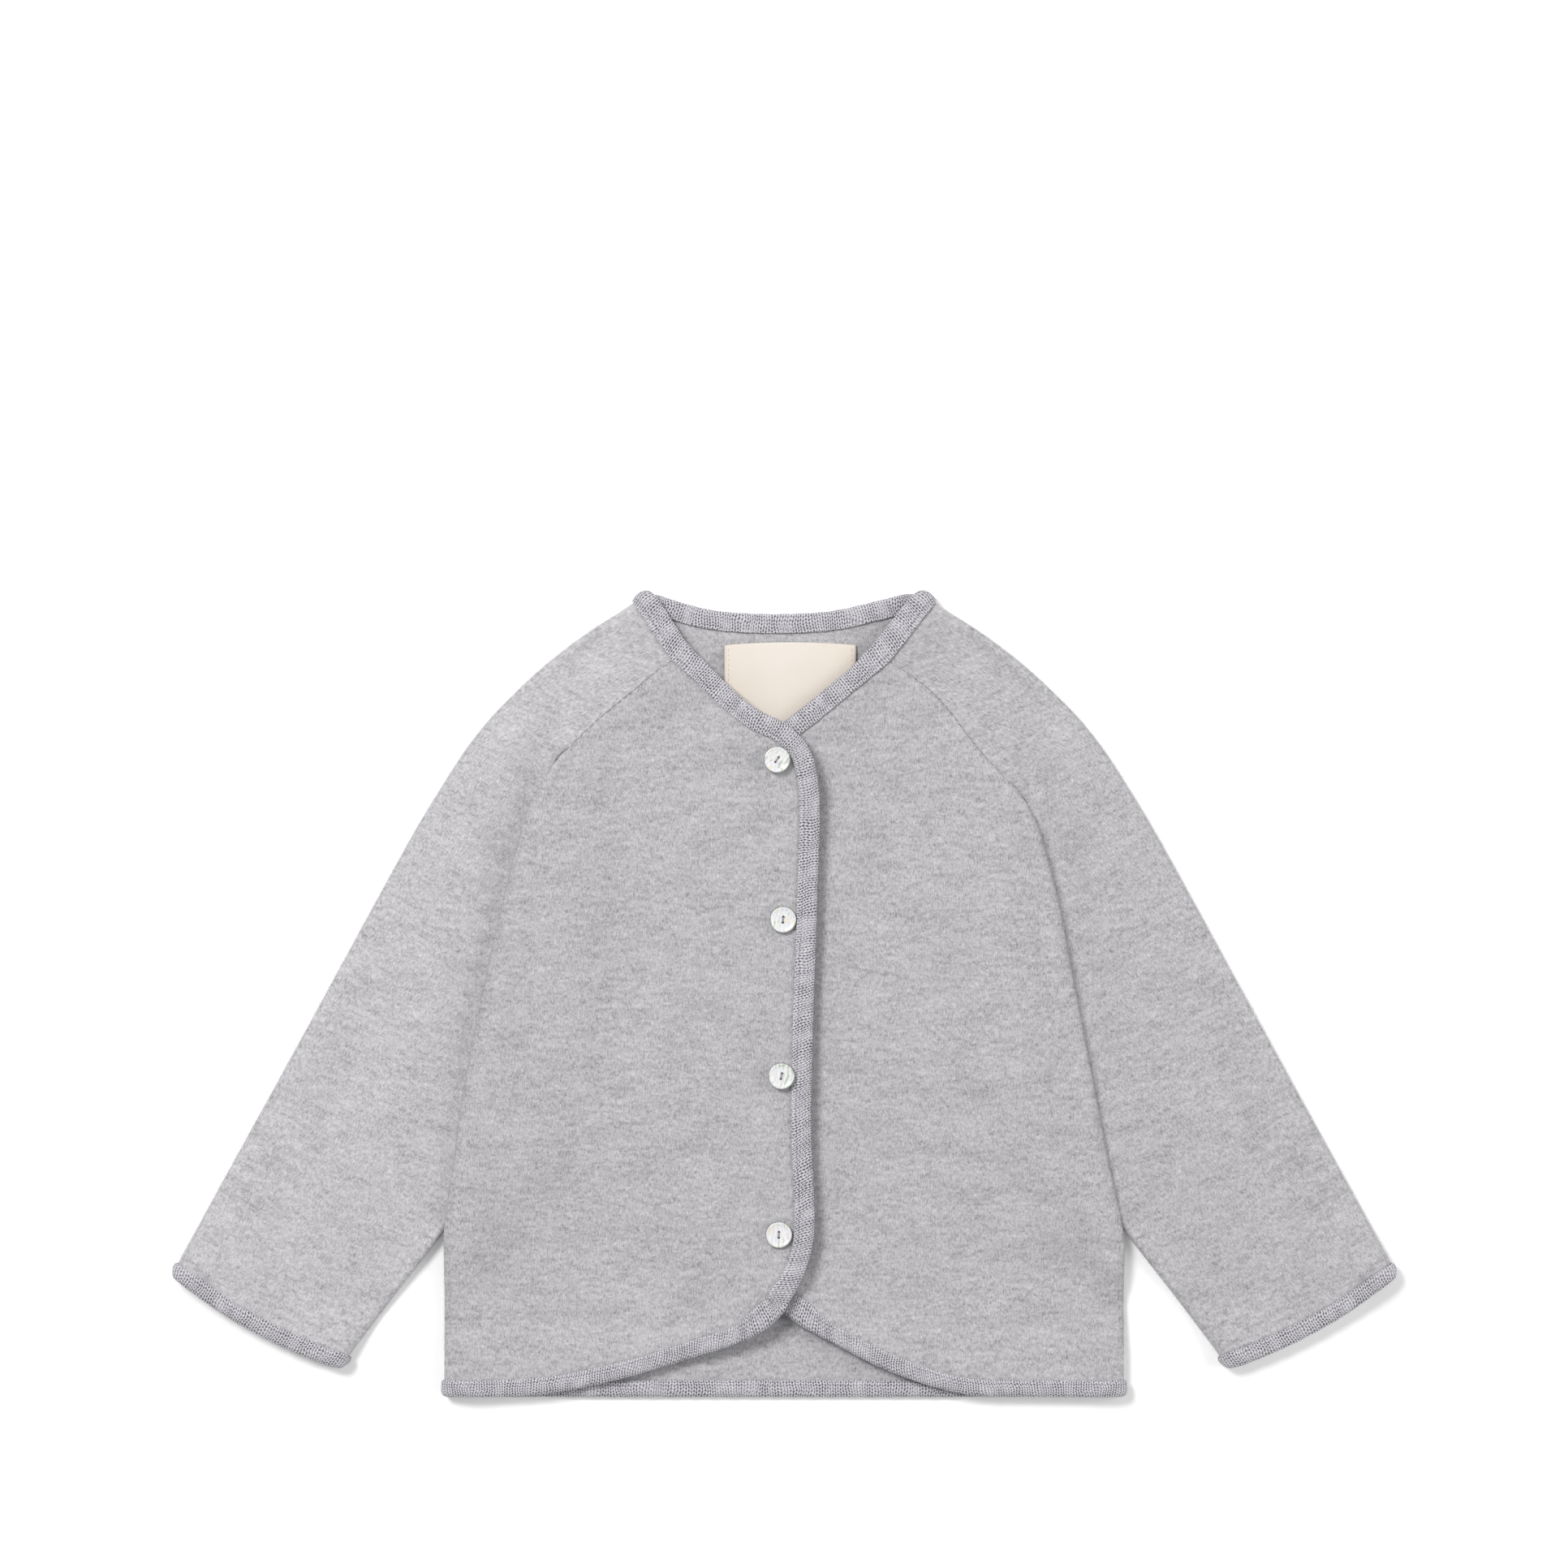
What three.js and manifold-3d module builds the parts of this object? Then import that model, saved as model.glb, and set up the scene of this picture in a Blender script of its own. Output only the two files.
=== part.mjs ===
// Baby cardigan with raglan sleeves, buttoned and laid flat on its back.
// Millimetres. X runs to the right of someone looking at the front, Y towards the neck, Z up.
// The origin is the middle of the plan, on the surface that the back lies on.

import * as THREE from "three";
import { mergeVertices } from "three/addons/utils/BufferGeometryUtils.js";
import Module from "manifold-3d";

const wasm = await Module();
wasm.setup();

// Cloth, ribbed knit and the room between layers
const CLOTH = 1.4;
const KNIT = 1.0;
const GAP = 0.3;
const RAGLAN_GAP = 0.4;
const RIB = 0.3;
const RIB_STEP = 4.3;
const TURN_IN = GAP + KNIT;
const SHELL = CLOTH / 2 + GAP + KNIT;

// Widths of the ribbed binding
const PLACKET_WIDTH = 8.3;
const NECK_WIDTH = 8.0;
const HEM_WIDTH = 6.8;
const CUFF_WIDTH = 6.6;

// Turned edges: radius at the middle of the wall
const BODY_ROLL = 2.0;
const SLEEVE_ROLL = 1.4;
const BOUND_ROLL = 2.6;
const PUFF = 1.6;

// How gently a layer drapes over what lies below it
const REACH = 15;
const SOFT = 5;
const SEAM_SLOPE = 0.14;
const PILE_CELL = 2;
const FINE_CELL = 0.5;
const PILE_HALF = { x: 280, y: 200 };

const HEM_Y = -174;
const CUFF_TIP = { out: 263.6, y: -122.6 };
const CUFF_HEEL = { out: 190.5, y: -162.6 };
const CUFF_BOW = 3.2;

const LABEL = { left: -25.5, right: 30.5, top: 149, bottom: 111.5, thickness: 1.0, arch: 1.2 };

const BUTTON = { radius: 5.75, height: 2.1, hole: 0.62, spread: 1.1, flat: 0.8, seat: 0.78 };
const BUTTONS = [
  { x: -3.2, y: 99.9, turn: 35 },
  { x: -0.6, y: 31.3, turn: 5 },
  { x: -1.3, y: -35.7, turn: 12 },
  { x: -2.4, y: -103.8, turn: 3 },
];

// Outer edge of each front's binding, from the side of the hem, round the centre, to the neck
const TOP_FRONT_EDGE = [
  { x: -146.3, y: -173.4 }, { x: -108.2, y: -172.7 }, { x: -73.3, y: -166.6 },
  { x: -36.3, y: -155.8 }, { x: -20.9, y: -150.7 }, { x: -5.5, y: -142.5 },
  { x: 4.4, y: -128.5 }, { x: 11.4, y: -111.5 }, { x: 12.7, y: -94 },
  { x: 11.3, y: -60 }, { x: 12.2, y: -8 }, { x: 13.7, y: 37 }, { x: 13.9, y: 91.8 },
  { x: 8.1, y: 108.7 }, { x: -1, y: 116.1 }, { x: -12.4, y: 121.7 },
  { x: -25.3, y: 132.9 }, { x: -42, y: 149.6 },
];
const UNDER_FRONT_EDGE = [
  { x: 146, y: -173.4 }, { x: 108, y: -173.4 }, { x: 76.4, y: -172.2 },
  { x: 44.9, y: -162.6 }, { x: 24, y: -152.1 }, { x: 3, y: -140.6 },
  { x: -8, y: -127 }, { x: -13, y: -108 }, { x: -13.4, y: -60 }, { x: -13, y: 0 },
  { x: -13.4, y: 60 }, { x: -13.4, y: 90 }, { x: -8, y: 108.5 }, { x: 0.9, y: 116.4 },
  { x: 14, y: 127.3 }, { x: 30.8, y: 141.3 }, { x: 38.5, y: 149.8 },
];
const CORNER_Y = -136;
const CORNER_HALF = 4.3;

// Top edge of the back neck binding, from the right shoulder to the left one
const BACK_NECK_EDGE = [
  { x: -50.5, y: 169.2 }, { x: -34.8, y: 164.7 }, { x: -20.8, y: 162.9 }, { x: 2.6, y: 162.4 },
  { x: 21.5, y: 163.8 }, { x: 36, y: 167 }, { x: 50.5, y: 170.6 },
];

// Lines of each side of the garment, as distances out from the middle:
// the raglan seams of front and back, and the line where the front folds over the sleeve
const SIDE = {
  right: {
    sign: -1,
    edge: TOP_FRONT_EDGE,
    raglan: [
      { out: 48.2, y: 142.5 }, { out: 56.8, y: 136.4 }, { out: 65.6, y: 129 },
      { out: 81.6, y: 115.7 }, { out: 98.4, y: 99 },
    ],
    fold: [
      { out: 52, y: 162 }, { out: 70, y: 149 }, { out: 84.8, y: 134.3 }, { out: 93.5, y: 114.3 },
      { out: 99.5, y: 102.8 }, { out: 108, y: 86 }, { out: 116.3, y: 59.4 },
      { out: 125.3, y: 22 }, { out: 134.8, y: -24.1 }, { out: 141.5, y: -66 },
      { out: 146.5, y: -104.2 }, { out: 146.3, y: -120 }, { out: 146.3, y: HEM_Y },
    ],
  },
  left: {
    sign: 1,
    edge: UNDER_FRONT_EDGE,
    raglan: [
      { out: 44.9, y: 142 }, { out: 58.6, y: 132.9 }, { out: 70.1, y: 121.7 },
      { out: 78.8, y: 110.1 }, { out: 89.3, y: 97.6 }, { out: 103.3, y: 82.2 },
    ],
    fold: [
      { out: 52, y: 162 }, { out: 72, y: 154 }, { out: 88.6, y: 142.3 }, { out: 92.8, y: 118.2 },
      { out: 97.4, y: 105.6 }, { out: 106.1, y: 80.1 }, { out: 115.9, y: 49 },
      { out: 125.2, y: 1.4 }, { out: 134.4, y: -46.5 }, { out: 141, y: -80.8 },
      { out: 145.8, y: -103.5 }, { out: 146, y: -123 }, { out: 146, y: HEM_Y },
    ],
  },
};
const NECK_POINT = { out: 57.8, y: 174 };

// Shoulder and outer edge of a sleeve, and its inner edge from the underarm to the cuff
const SLEEVE_OUTER = [
  { out: 64.9, y: 167.5 }, { out: 84.8, y: 154.5 }, { out: 103, y: 140.6 }, { out: 118, y: 126.6 },
  { out: 131, y: 112.6 }, { out: 141, y: 98.6 }, { out: 149.8, y: 84.6 }, { out: 158.2, y: 70.7 },
  { out: 208.2, y: -20.5 }, { out: 260.6, y: -116.4 },
];
const SLEEVE_INNER = [
  { out: 101, y: 60 }, { out: 101, y: 20 }, { out: 104, y: -10 }, { out: 109, y: -38 },
  { out: 118, y: -62 }, { out: 130, y: -81.5 }, { out: 146.5, y: -103.3 },
  { out: 171.8, y: -136 }, { out: 187, y: -156.6 },
];
const SHOULDER_SHARE = 0.24;
const NECK_SEAM_SHARE = 0.026;
const RAGLAN_OUTWARDS = { x: 0.66, y: 0.75 };
const NECK_OUTWARDS = { x: 0.6, y: -0.8 };
const CUFF_OUTWARDS = { x: 0.48, y: -0.88 };
const RAGLAN_STEPS = 7;
const ARM_STEPS = 15;

// Shares of a sleeve's width at which its lower layer has points, and the soft hill and valley
// that the upper layer makes on either side of the front's folded edge
const SLEEVE_SHARES = [0, 0.3, 0.55, 0.8];
const HILL_IN = 1.5;
const VALLEY_OUT = 3.5;
const EDGE_LIFT = [1, 0.7, 0.2];
const SLIT = 0.1;
const SLEEVE_REACH = 12;
const SLEEVE_SOFT = 4;

const COLOURS = { cloth: 0xbdbcc0, knit: 0xb4b1b6, label: 0xf1e9de, shell: 0xf2f4f0 };
const material = (color, roughness) => new THREE.MeshStandardMaterial({ color, roughness, metalness: 0 });
const CLOTH_FINISH = material(COLOURS.cloth, 0.95);
const KNIT_FINISH = material(COLOURS.knit, 0.95);
const LABEL_FINISH = material(COLOURS.label, 0.7);
const SHELL_FINISH = material(COLOURS.shell, 0.2);

const garment = new THREE.Group();
garment.name = "baby_cardigan";

const at = (x, y, z = 0) => new THREE.Vector3(x, y, z);
const mix = (a, b, t) => a + (b - a) * t;
const between = (a, b, t) => a.clone().lerp(b, t);
const ease = (t) => THREE.MathUtils.smoothstep(t, 0, 1);
const placed = (row, sign) => at(sign * row.out, row.y);

function addPiece(name, geometry, finish) {
  const mesh = new THREE.Mesh(geometry, finish);
  mesh.name = name;
  garment.add(mesh);
  return geometry;
}

// A smooth line through the rows of a table
function smoothLine(points) {
  const line = new THREE.CatmullRomCurve3(points, false, "centripetal");
  line.arcLengthDivisions = 800;
  return line;
}

// Points evenly spaced on part of a line, given as shares of its length
function pointsAlong(line, steps, from = 0, to = 1) {
  return Array.from({ length: steps + 1 }, (_, i) => line.getPointAt(mix(from, to, i / steps)));
}

// The same points moved sideways, to the left of their run where the distance is positive
function movedSideways(line, steps, distance, from = 0, to = 1) {
  return Array.from({ length: steps + 1 }, (_, i) => {
    const share = mix(from, to, i / steps);
    const run = line.getTangentAt(share);
    return line.getPointAt(share).add(at(-run.y, run.x).multiplyScalar(distance));
  });
}

// Where a line passes nearest to a height
function shareAtHeight(line, y, from, to) {
  let best = from;
  const tries = 600;
  for (let i = 0; i <= tries; i += 1) {
    const share = mix(from, to, i / tries);
    if (Math.abs(line.getPointAt(share).y - y) < Math.abs(line.getPointAt(best).y - y)) best = share;
  }
  return best;
}

// A patch of points that fills four border rows
function patch(bottom, top, left, right) {
  const across = bottom.length - 1;
  const up = left.length - 1;
  return left.map((_, j) => bottom.map((__, i) => {
    const u = i / across;
    const v = j / up;
    const ruled = between(bottom[i], top[i], v).add(between(left[j], right[j], u));
    const low = between(bottom[0], bottom[across], u);
    const high = between(top[0], top[across], u);
    return ruled.sub(between(low, high, v));
  }));
}

// A wall of cloth, given by rows of points in the middle of its thickness
class Sheet {
  constructor(rows, thickness, facing, curledEnds = []) {
    this.rows = rows;
    this.thickness = thickness;
    this.facing = facing;
    this.curledEnds = curledEnds;
  }

  runAt(j, i, dj, di) {
    const rows = this.rows;
    const here = rows[j][i];
    const run = at(0, 0, 0);
    const next = rows[j + dj]?.[i + di];
    const last = rows[j - dj]?.[i - di];
    if (next) run.add(next.clone().sub(here).normalize());
    if (last) run.add(here.clone().sub(last).normalize());
    if (di && this.curledEnds.includes(i)) {
      const inwards = i ? -1 : 1;
      const before = rows[j][i + inwards].clone().sub(rows[j][i + 2 * inwards]).normalize();
      run.addScaledVector(run.clone().addScaledVector(before, inwards), 0.5);
    }
    return run;
  }

  normalAt(j, i) {
    const across = this.runAt(j, i, 0, 1);
    const up = this.runAt(j, i, 1, 0);
    return across.cross(up).normalize().multiplyScalar(this.facing);
  }

  // The middle point and the outward direction of one grid place
  place(j, i) {
    return { point: this.rows[j][i], normal: this.normalAt(j, i) };
  }

  solid() {
    const up = this.rows.length;
    const across = this.rows[0].length;
    const positions = [];
    for (const side of [1, -1]) {
      for (let j = 0; j < up; j += 1) {
        for (let i = 0; i < across; i += 1) {
          const away = this.normalAt(j, i).multiplyScalar(side * this.thickness / 2);
          const spot = this.rows[j][i].clone().add(away);
          positions.push(spot.x, spot.y, Math.max(spot.z, 0));
        }
      }
    }
    const index = [];
    const outer = (j, i) => j * across + i;
    const inner = (j, i) => up * across + j * across + i;
    const quad = (a, b, c, d) => index.push(a, b, c, a, c, d);
    for (let j = 0; j < up - 1; j += 1) {
      for (let i = 0; i < across - 1; i += 1) {
        quad(outer(j, i), outer(j, i + 1), outer(j + 1, i + 1), outer(j + 1, i));
        quad(inner(j, i), inner(j + 1, i), inner(j + 1, i + 1), inner(j, i + 1));
      }
    }
    for (let i = 0; i < across - 1; i += 1) {
      quad(outer(0, i), inner(0, i), inner(0, i + 1), outer(0, i + 1));
      quad(outer(up - 1, i), outer(up - 1, i + 1), inner(up - 1, i + 1), inner(up - 1, i));
    }
    for (let j = 0; j < up - 1; j += 1) {
      quad(outer(j, 0), outer(j + 1, 0), inner(j + 1, 0), inner(j, 0));
      quad(outer(j, across - 1), inner(j, across - 1), inner(j + 1, across - 1), outer(j + 1, across - 1));
    }
    return facingOut(positions, index);
  }
}

// A closed mesh whose faces point out, whichever way its grid runs
function facingOut(positions, index) {
  let volume = 0;
  const corner = (k) => at(positions[3 * k], positions[3 * k + 1], positions[3 * k + 2]);
  for (let k = 0; k < index.length; k += 3) {
    const a = corner(index[k]);
    volume += a.dot(corner(index[k + 1]).cross(corner(index[k + 2])));
  }
  if (volume < 0) {
    for (let k = 0; k < index.length; k += 3) {
      [index[k + 1], index[k + 2]] = [index[k + 2], index[k + 1]];
    }
  }
  const geometry = new THREE.BufferGeometry();
  geometry.setAttribute("position", new THREE.Float32BufferAttribute(positions, 3));
  geometry.setIndex(index);
  return geometry;
}

// The heights of what already lies on the surface, so that the next layer can drape over it
class Pile {
  constructor(cell = PILE_CELL) {
    this.cell = cell;
    this.columns = 2 * Math.ceil(PILE_HALF.x / cell);
    this.lines = 2 * Math.ceil(PILE_HALF.y / cell);
    this.heights = new Float32Array(this.columns * this.lines);
  }

  copy() {
    const twin = new Pile();
    twin.heights.set(this.heights);
    return twin;
  }

  columnOf(x) {
    return Math.floor(x / this.cell + this.columns / 2);
  }

  lineOf(y) {
    return Math.floor(y / this.cell + this.lines / 2);
  }

  // Lays a piece on the pile, or the part of it that counts
  add(geometry, counts = () => true) {
    const spots = geometry.getAttribute("position");
    const index = geometry.getIndex();
    const triangle = new THREE.Triangle();
    const shares = at(0, 0, 0);
    for (let k = 0; k < index.count; k += 3) {
      const corners = [0, 1, 2].map((n) => at(0, 0, 0).fromBufferAttribute(spots, index.getX(k + n)));
      const heights = corners.map((c) => c.z);
      corners.forEach((c) => c.setZ(0));
      triangle.set(...corners);
      if (triangle.getArea() < 1e-3) continue;
      const [left, right] = [Math.min(...corners.map((c) => c.x)), Math.max(...corners.map((c) => c.x))];
      const [low, high] = [Math.min(...corners.map((c) => c.y)), Math.max(...corners.map((c) => c.y))];
      for (let line = this.lineOf(low); line <= this.lineOf(high); line += 1) {
        for (let column = this.columnOf(left); column <= this.columnOf(right); column += 1) {
          const x = (column + 0.5 - this.columns / 2) * this.cell;
          const y = (line + 0.5 - this.lines / 2) * this.cell;
          if (!counts(x, y)) continue;
          const near = triangle.closestPointToPoint(at(x, y), at(0, 0, 0));
          if (near.distanceTo(at(x, y)) > this.cell) continue;
          triangle.getBarycoord(near, shares);
          const height = shares.x * heights[0] + shares.y * heights[1] + shares.z * heights[2];
          const cell = line * this.columns + column;
          this.heights[cell] = Math.max(this.heights[cell], height);
        }
      }
    }
    return this;
  }

  // The highest point within reach of a place
  highest(x, y, reach) {
    let top = 0;
    const span = Math.ceil(reach / this.cell);
    const column = this.columnOf(x);
    const line = this.lineOf(y);
    for (let dy = -span; dy <= span; dy += 1) {
      for (let dx = -span; dx <= span; dx += 1) {
        if (Math.hypot(dx, dy) * this.cell > reach + this.cell) continue;
        const cell = (line + dy) * this.columns + column + dx;
        top = Math.max(top, this.heights[cell] ?? 0);
      }
    }
    return top;
  }

  // A soft height that clears everything within reach
  drape(x, y, reach = REACH, soft = SOFT) {
    const around = 8;
    let sum = this.highest(x, y, reach + soft);
    for (let k = 0; k < around; k += 1) {
      const angle = (2 * Math.PI * k) / around;
      sum += this.highest(x + soft * Math.cos(angle), y + soft * Math.sin(angle), reach + soft);
    }
    return sum / (around + 1);
  }
}

// Ribbed knit folded round an edge. Each pair holds the cloth's edge and the seam line inside it.
const PROFILE_SHARES = [
  { name: "seam", into: 1, height: 1, rib: 0.5 },
  { name: "crown", into: 0.5, height: 1.08, rib: 1 },
  { name: "shoulder", into: 0, height: 0.98, rib: 1 },
  { name: "lip above", into: 0, out: 1, height: 0.5, rib: 0.7 },
  { name: "lip below", into: 0, out: 1, height: -0.5, rib: 0.7 },
  { name: "under shoulder", into: 0, height: -0.98, rib: 1 },
  { name: "under seam", into: 1, height: -1, rib: 0.5 },
];

function bindingSection(pair, rib) {
  const inward = pair.seam.point.clone().sub(pair.edge.point).normalize();
  const spot = (into, out, height) => {
    const normal = between(pair.edge.normal, pair.seam.normal, into).normalize();
    return between(pair.edge.point, pair.seam.point, into)
      .addScaledVector(inward, -out)
      .addScaledVector(normal, height);
  };
  const outside = PROFILE_SHARES.map((row) => {
    const raised = rib * row.rib * Math.sign(row.height);
    const out = (row.out ?? 0) * (TURN_IN + (row.out ? rib * row.rib : 0));
    return spot(row.into, out, row.height * SHELL + (row.out ? 0 : raised));
  });
  const slot = CLOTH / 2 + GAP;
  const inside = [spot(1, 0, -slot), spot(0, GAP, -slot), spot(0, GAP, slot), spot(1, 0, slot)];
  return [...outside, ...inside];
}

function betweenPairs(a, b, t) {
  const blend = (p, q) => {
    const normal = between(p.normal, q.normal, t).normalize();
    return { point: between(p.point, q.point, t), normal };
  };
  return { edge: blend(a.edge, b.edge), seam: blend(a.seam, b.seam) };
}

function binding(pairs, trim) {
  const stations = [pairs[0]];
  for (let k = 1; k < pairs.length; k += 1) {
    const length = pairs[k].edge.point.distanceTo(pairs[k - 1].edge.point);
    const steps = Math.max(1, Math.round(length / RIB_STEP));
    for (let n = 1; n <= steps; n += 1) stations.push(betweenPairs(pairs[k - 1], pairs[k], n / steps));
  }
  const shorten = (end, inner) => {
    const length = stations[end].edge.point.distanceTo(stations[inner].edge.point);
    stations[end] = betweenPairs(stations[end], stations[inner], trim / length);
  };
  shorten(0, 1);
  shorten(stations.length - 1, stations.length - 2);
  const sections = stations.map((pair, k) => bindingSection(pair, k % 2 ? RIB : 0));
  const ring = sections[0].length;
  const positions = sections.flat().flatMap((spot) => [spot.x, spot.y, Math.max(spot.z, 0)]);
  const index = [];
  for (let k = 0; k < sections.length - 1; k += 1) {
    for (let n = 0; n < ring; n += 1) {
      const m = (n + 1) % ring;
      const [a, b, c, d] = [k * ring + n, k * ring + m, (k + 1) * ring + m, (k + 1) * ring + n];
      index.push(a, b, c, a, c, d);
    }
  }
  const slot = (CLOTH / 2 + GAP) / SHELL;
  const flat = PROFILE_SHARES.map((row) => new THREE.Vector2(row.into - 0.2 * (row.out ?? 0), row.height));
  flat.push(new THREE.Vector2(1, -slot), new THREE.Vector2(-0.05, -slot));
  flat.push(new THREE.Vector2(-0.05, slot), new THREE.Vector2(1, slot));
  const last = (sections.length - 1) * ring;
  const turned = THREE.ShapeUtils.area(flat) < 0;
  for (const [a, b, c] of THREE.ShapeUtils.triangulateShape(flat, [])) {
    const [p, q] = turned ? [c, b] : [b, c];
    index.push(...(turned ? [a, p, q] : [a, q, p]));
    index.push(...(turned ? [last + a, last + q, last + p] : [last + a, last + p, last + q]));
  }
  return facingOut(positions, index);
}

// Distance out from the middle where the front folds, at a height
function foldOut(side, y) {
  const rows = side.fold;
  for (let k = 1; k < rows.length; k += 1) {
    const [above, below] = [rows[k - 1], rows[k]];
    if (y >= below.y) return mix(above.out, below.out, (above.y - y) / (above.y - below.y));
  }
  return rows.at(-1).out;
}

function foldLine(side, inwards) {
  const crossing = side.raglan.at(-1);
  const rows = side.fold.filter((row) => row.y < crossing.y - 2).reverse();
  const points = rows.map((row) => at(side.sign * (row.out - inwards), row.y));
  return smoothLine([...points, at(side.sign * (crossing.out - inwards), crossing.y)]);
}

// The end of the cloth's edge at the top of a front, and the way that edge runs there
function frontEdge(side) {
  const line = smoothLine(side.edge.map((row) => at(row.x, row.y)));
  return { line, run: line.getTangentAt(1), top: movedSideways(line, 1, -side.sign * TURN_IN)[1] };
}

// Rows of the back, from the hem to the neck
function layBack() {
  const across = 12;
  const up = 14;
  const inwards = 0.8;
  const hemTop = HEM_Y + HEM_WIDTH;
  const neck = smoothLine(BACK_NECK_EDGE.map((row) => at(row.x, row.y)));
  const top = movedSideways(neck, across, -NECK_WIDTH);
  const neckRow = movedSideways(neck, across, -TURN_IN);
  const borders = ["right", "left"].map((name) => {
    const side = SIDE[name];
    const start = at(side.sign * (side.fold.at(-1).out - inwards), hemTop);
    const sideLine = foldLine(side, inwards);
    const steps = name === "right" ? 11 : 10;
    const hemShare = shareAtHeight(sideLine, hemTop, 0, 0.1);
    const rise = pointsAlong(sideLine, steps, hemShare, 1);
    rise[0] = start;
    const end = name === "right" ? top[0] : top[across];
    const crossing = rise.at(-1);
    const rest = up - steps;
    for (let k = 1; k <= rest; k += 1) rise.push(between(crossing, end, k / rest));
    return rise;
  });
  const [rightFoot, leftFoot] = borders.map((rise) => rise[0]);
  const bottom = Array.from({ length: across + 1 }, (_, i) => between(rightFoot, leftFoot, i / across));
  const rows = patch(bottom, top, borders[0], borders[1]);
  const hemRow = bottom.map((spot) => at(spot.x, HEM_Y + TURN_IN));
  for (const row of rows) row.forEach((spot) => spot.setZ(CLOTH / 2));
  for (const row of [hemRow, rows[0], rows[up], neckRow]) row.forEach((spot) => spot.setZ(SHELL));
  return new Sheet([hemRow, ...rows, neckRow], CLOTH, 1);
}

// One sleeve: the lower layer, the turn at the outer edge and the upper layer are one wall
function sleevePlan(side, back) {
  const sign = side.sign;
  const outerLine = smoothLine([NECK_POINT, ...SLEEVE_OUTER, CUFF_TIP].map((row) => placed(row, sign)));
  const apart = at(sign * RAGLAN_OUTWARDS.x, RAGLAN_OUTWARDS.y).multiplyScalar(RAGLAN_GAP);
  const frontRaglan = smoothLine(side.raglan.map((row) => placed(row, sign).add(apart)));
  const crossing = frontRaglan.getPointAt(1);
  const armInner = smoothLine([crossing, ...SLEEVE_INNER.map((row) => placed(row, sign))]);
  const bow = at(sign * CUFF_OUTWARDS.x, CUFF_OUTWARDS.y).normalize();
  const stations = [];
  const addStation = (front, back, outer, kind) => stations.push({ front, back, outer, kind });
  const end = sign < 0 ? 0 : back.rows[0].length - 1;
  const beside = (spot) => spot.clone().setZ(0).add(at(sign * 0.9 * GAP, 0.6 * GAP));
  const neckFront = frontEdge(side).top.addScaledVector(frontEdge(side).run, GAP);
  const neckAway = at(sign * NECK_OUTWARDS.x, NECK_OUTWARDS.y).multiplyScalar(TURN_IN);
  const neckOuter = placed(NECK_POINT, sign).add(neckAway);
  addStation(neckFront, beside(back.rows.at(-1)[end]), neckOuter, "edge");
  const backStart = beside(back.rows.at(-2)[end]);
  for (let k = 0; k <= RAGLAN_STEPS; k += 1) {
    const share = k / RAGLAN_STEPS;
    const outer = outerLine.getPointAt(mix(NECK_SEAM_SHARE, SHOULDER_SHARE, share));
    const behind = between(backStart, crossing, share);
    addStation(frontRaglan.getPointAt(share), behind, outer, k ? "raglan" : "seam");
  }
  for (let k = 1; k <= ARM_STEPS; k += 1) {
    const share = k / ARM_STEPS;
    const inner = armInner.getPointAt(share);
    const outer = outerLine.getPointAt(mix(SHOULDER_SHARE, 1 - CUFF_WIDTH / outerLine.getLength(), share));
    addStation(inner, inner, outer, k === ARM_STEPS ? "seam" : "arm");
  }
  const tip = placed(CUFF_TIP, sign).addScaledVector(bow, -TURN_IN);
  const heel = placed(CUFF_HEEL, sign).addScaledVector(bow, -TURN_IN);
  addStation(heel, heel, tip, "edge");
  stations.forEach((station, k) => {
    station.bow = bow.clone().multiplyScalar(CUFF_BOW * ease((k - stations.length + 6) / 4));
    station.bound = station.kind === "edge" || station.kind === "seam";
    const away = station.outer.clone().sub(station.front).setZ(0).normalize();
    station.away = away;
  });
  return stations;
}

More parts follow.
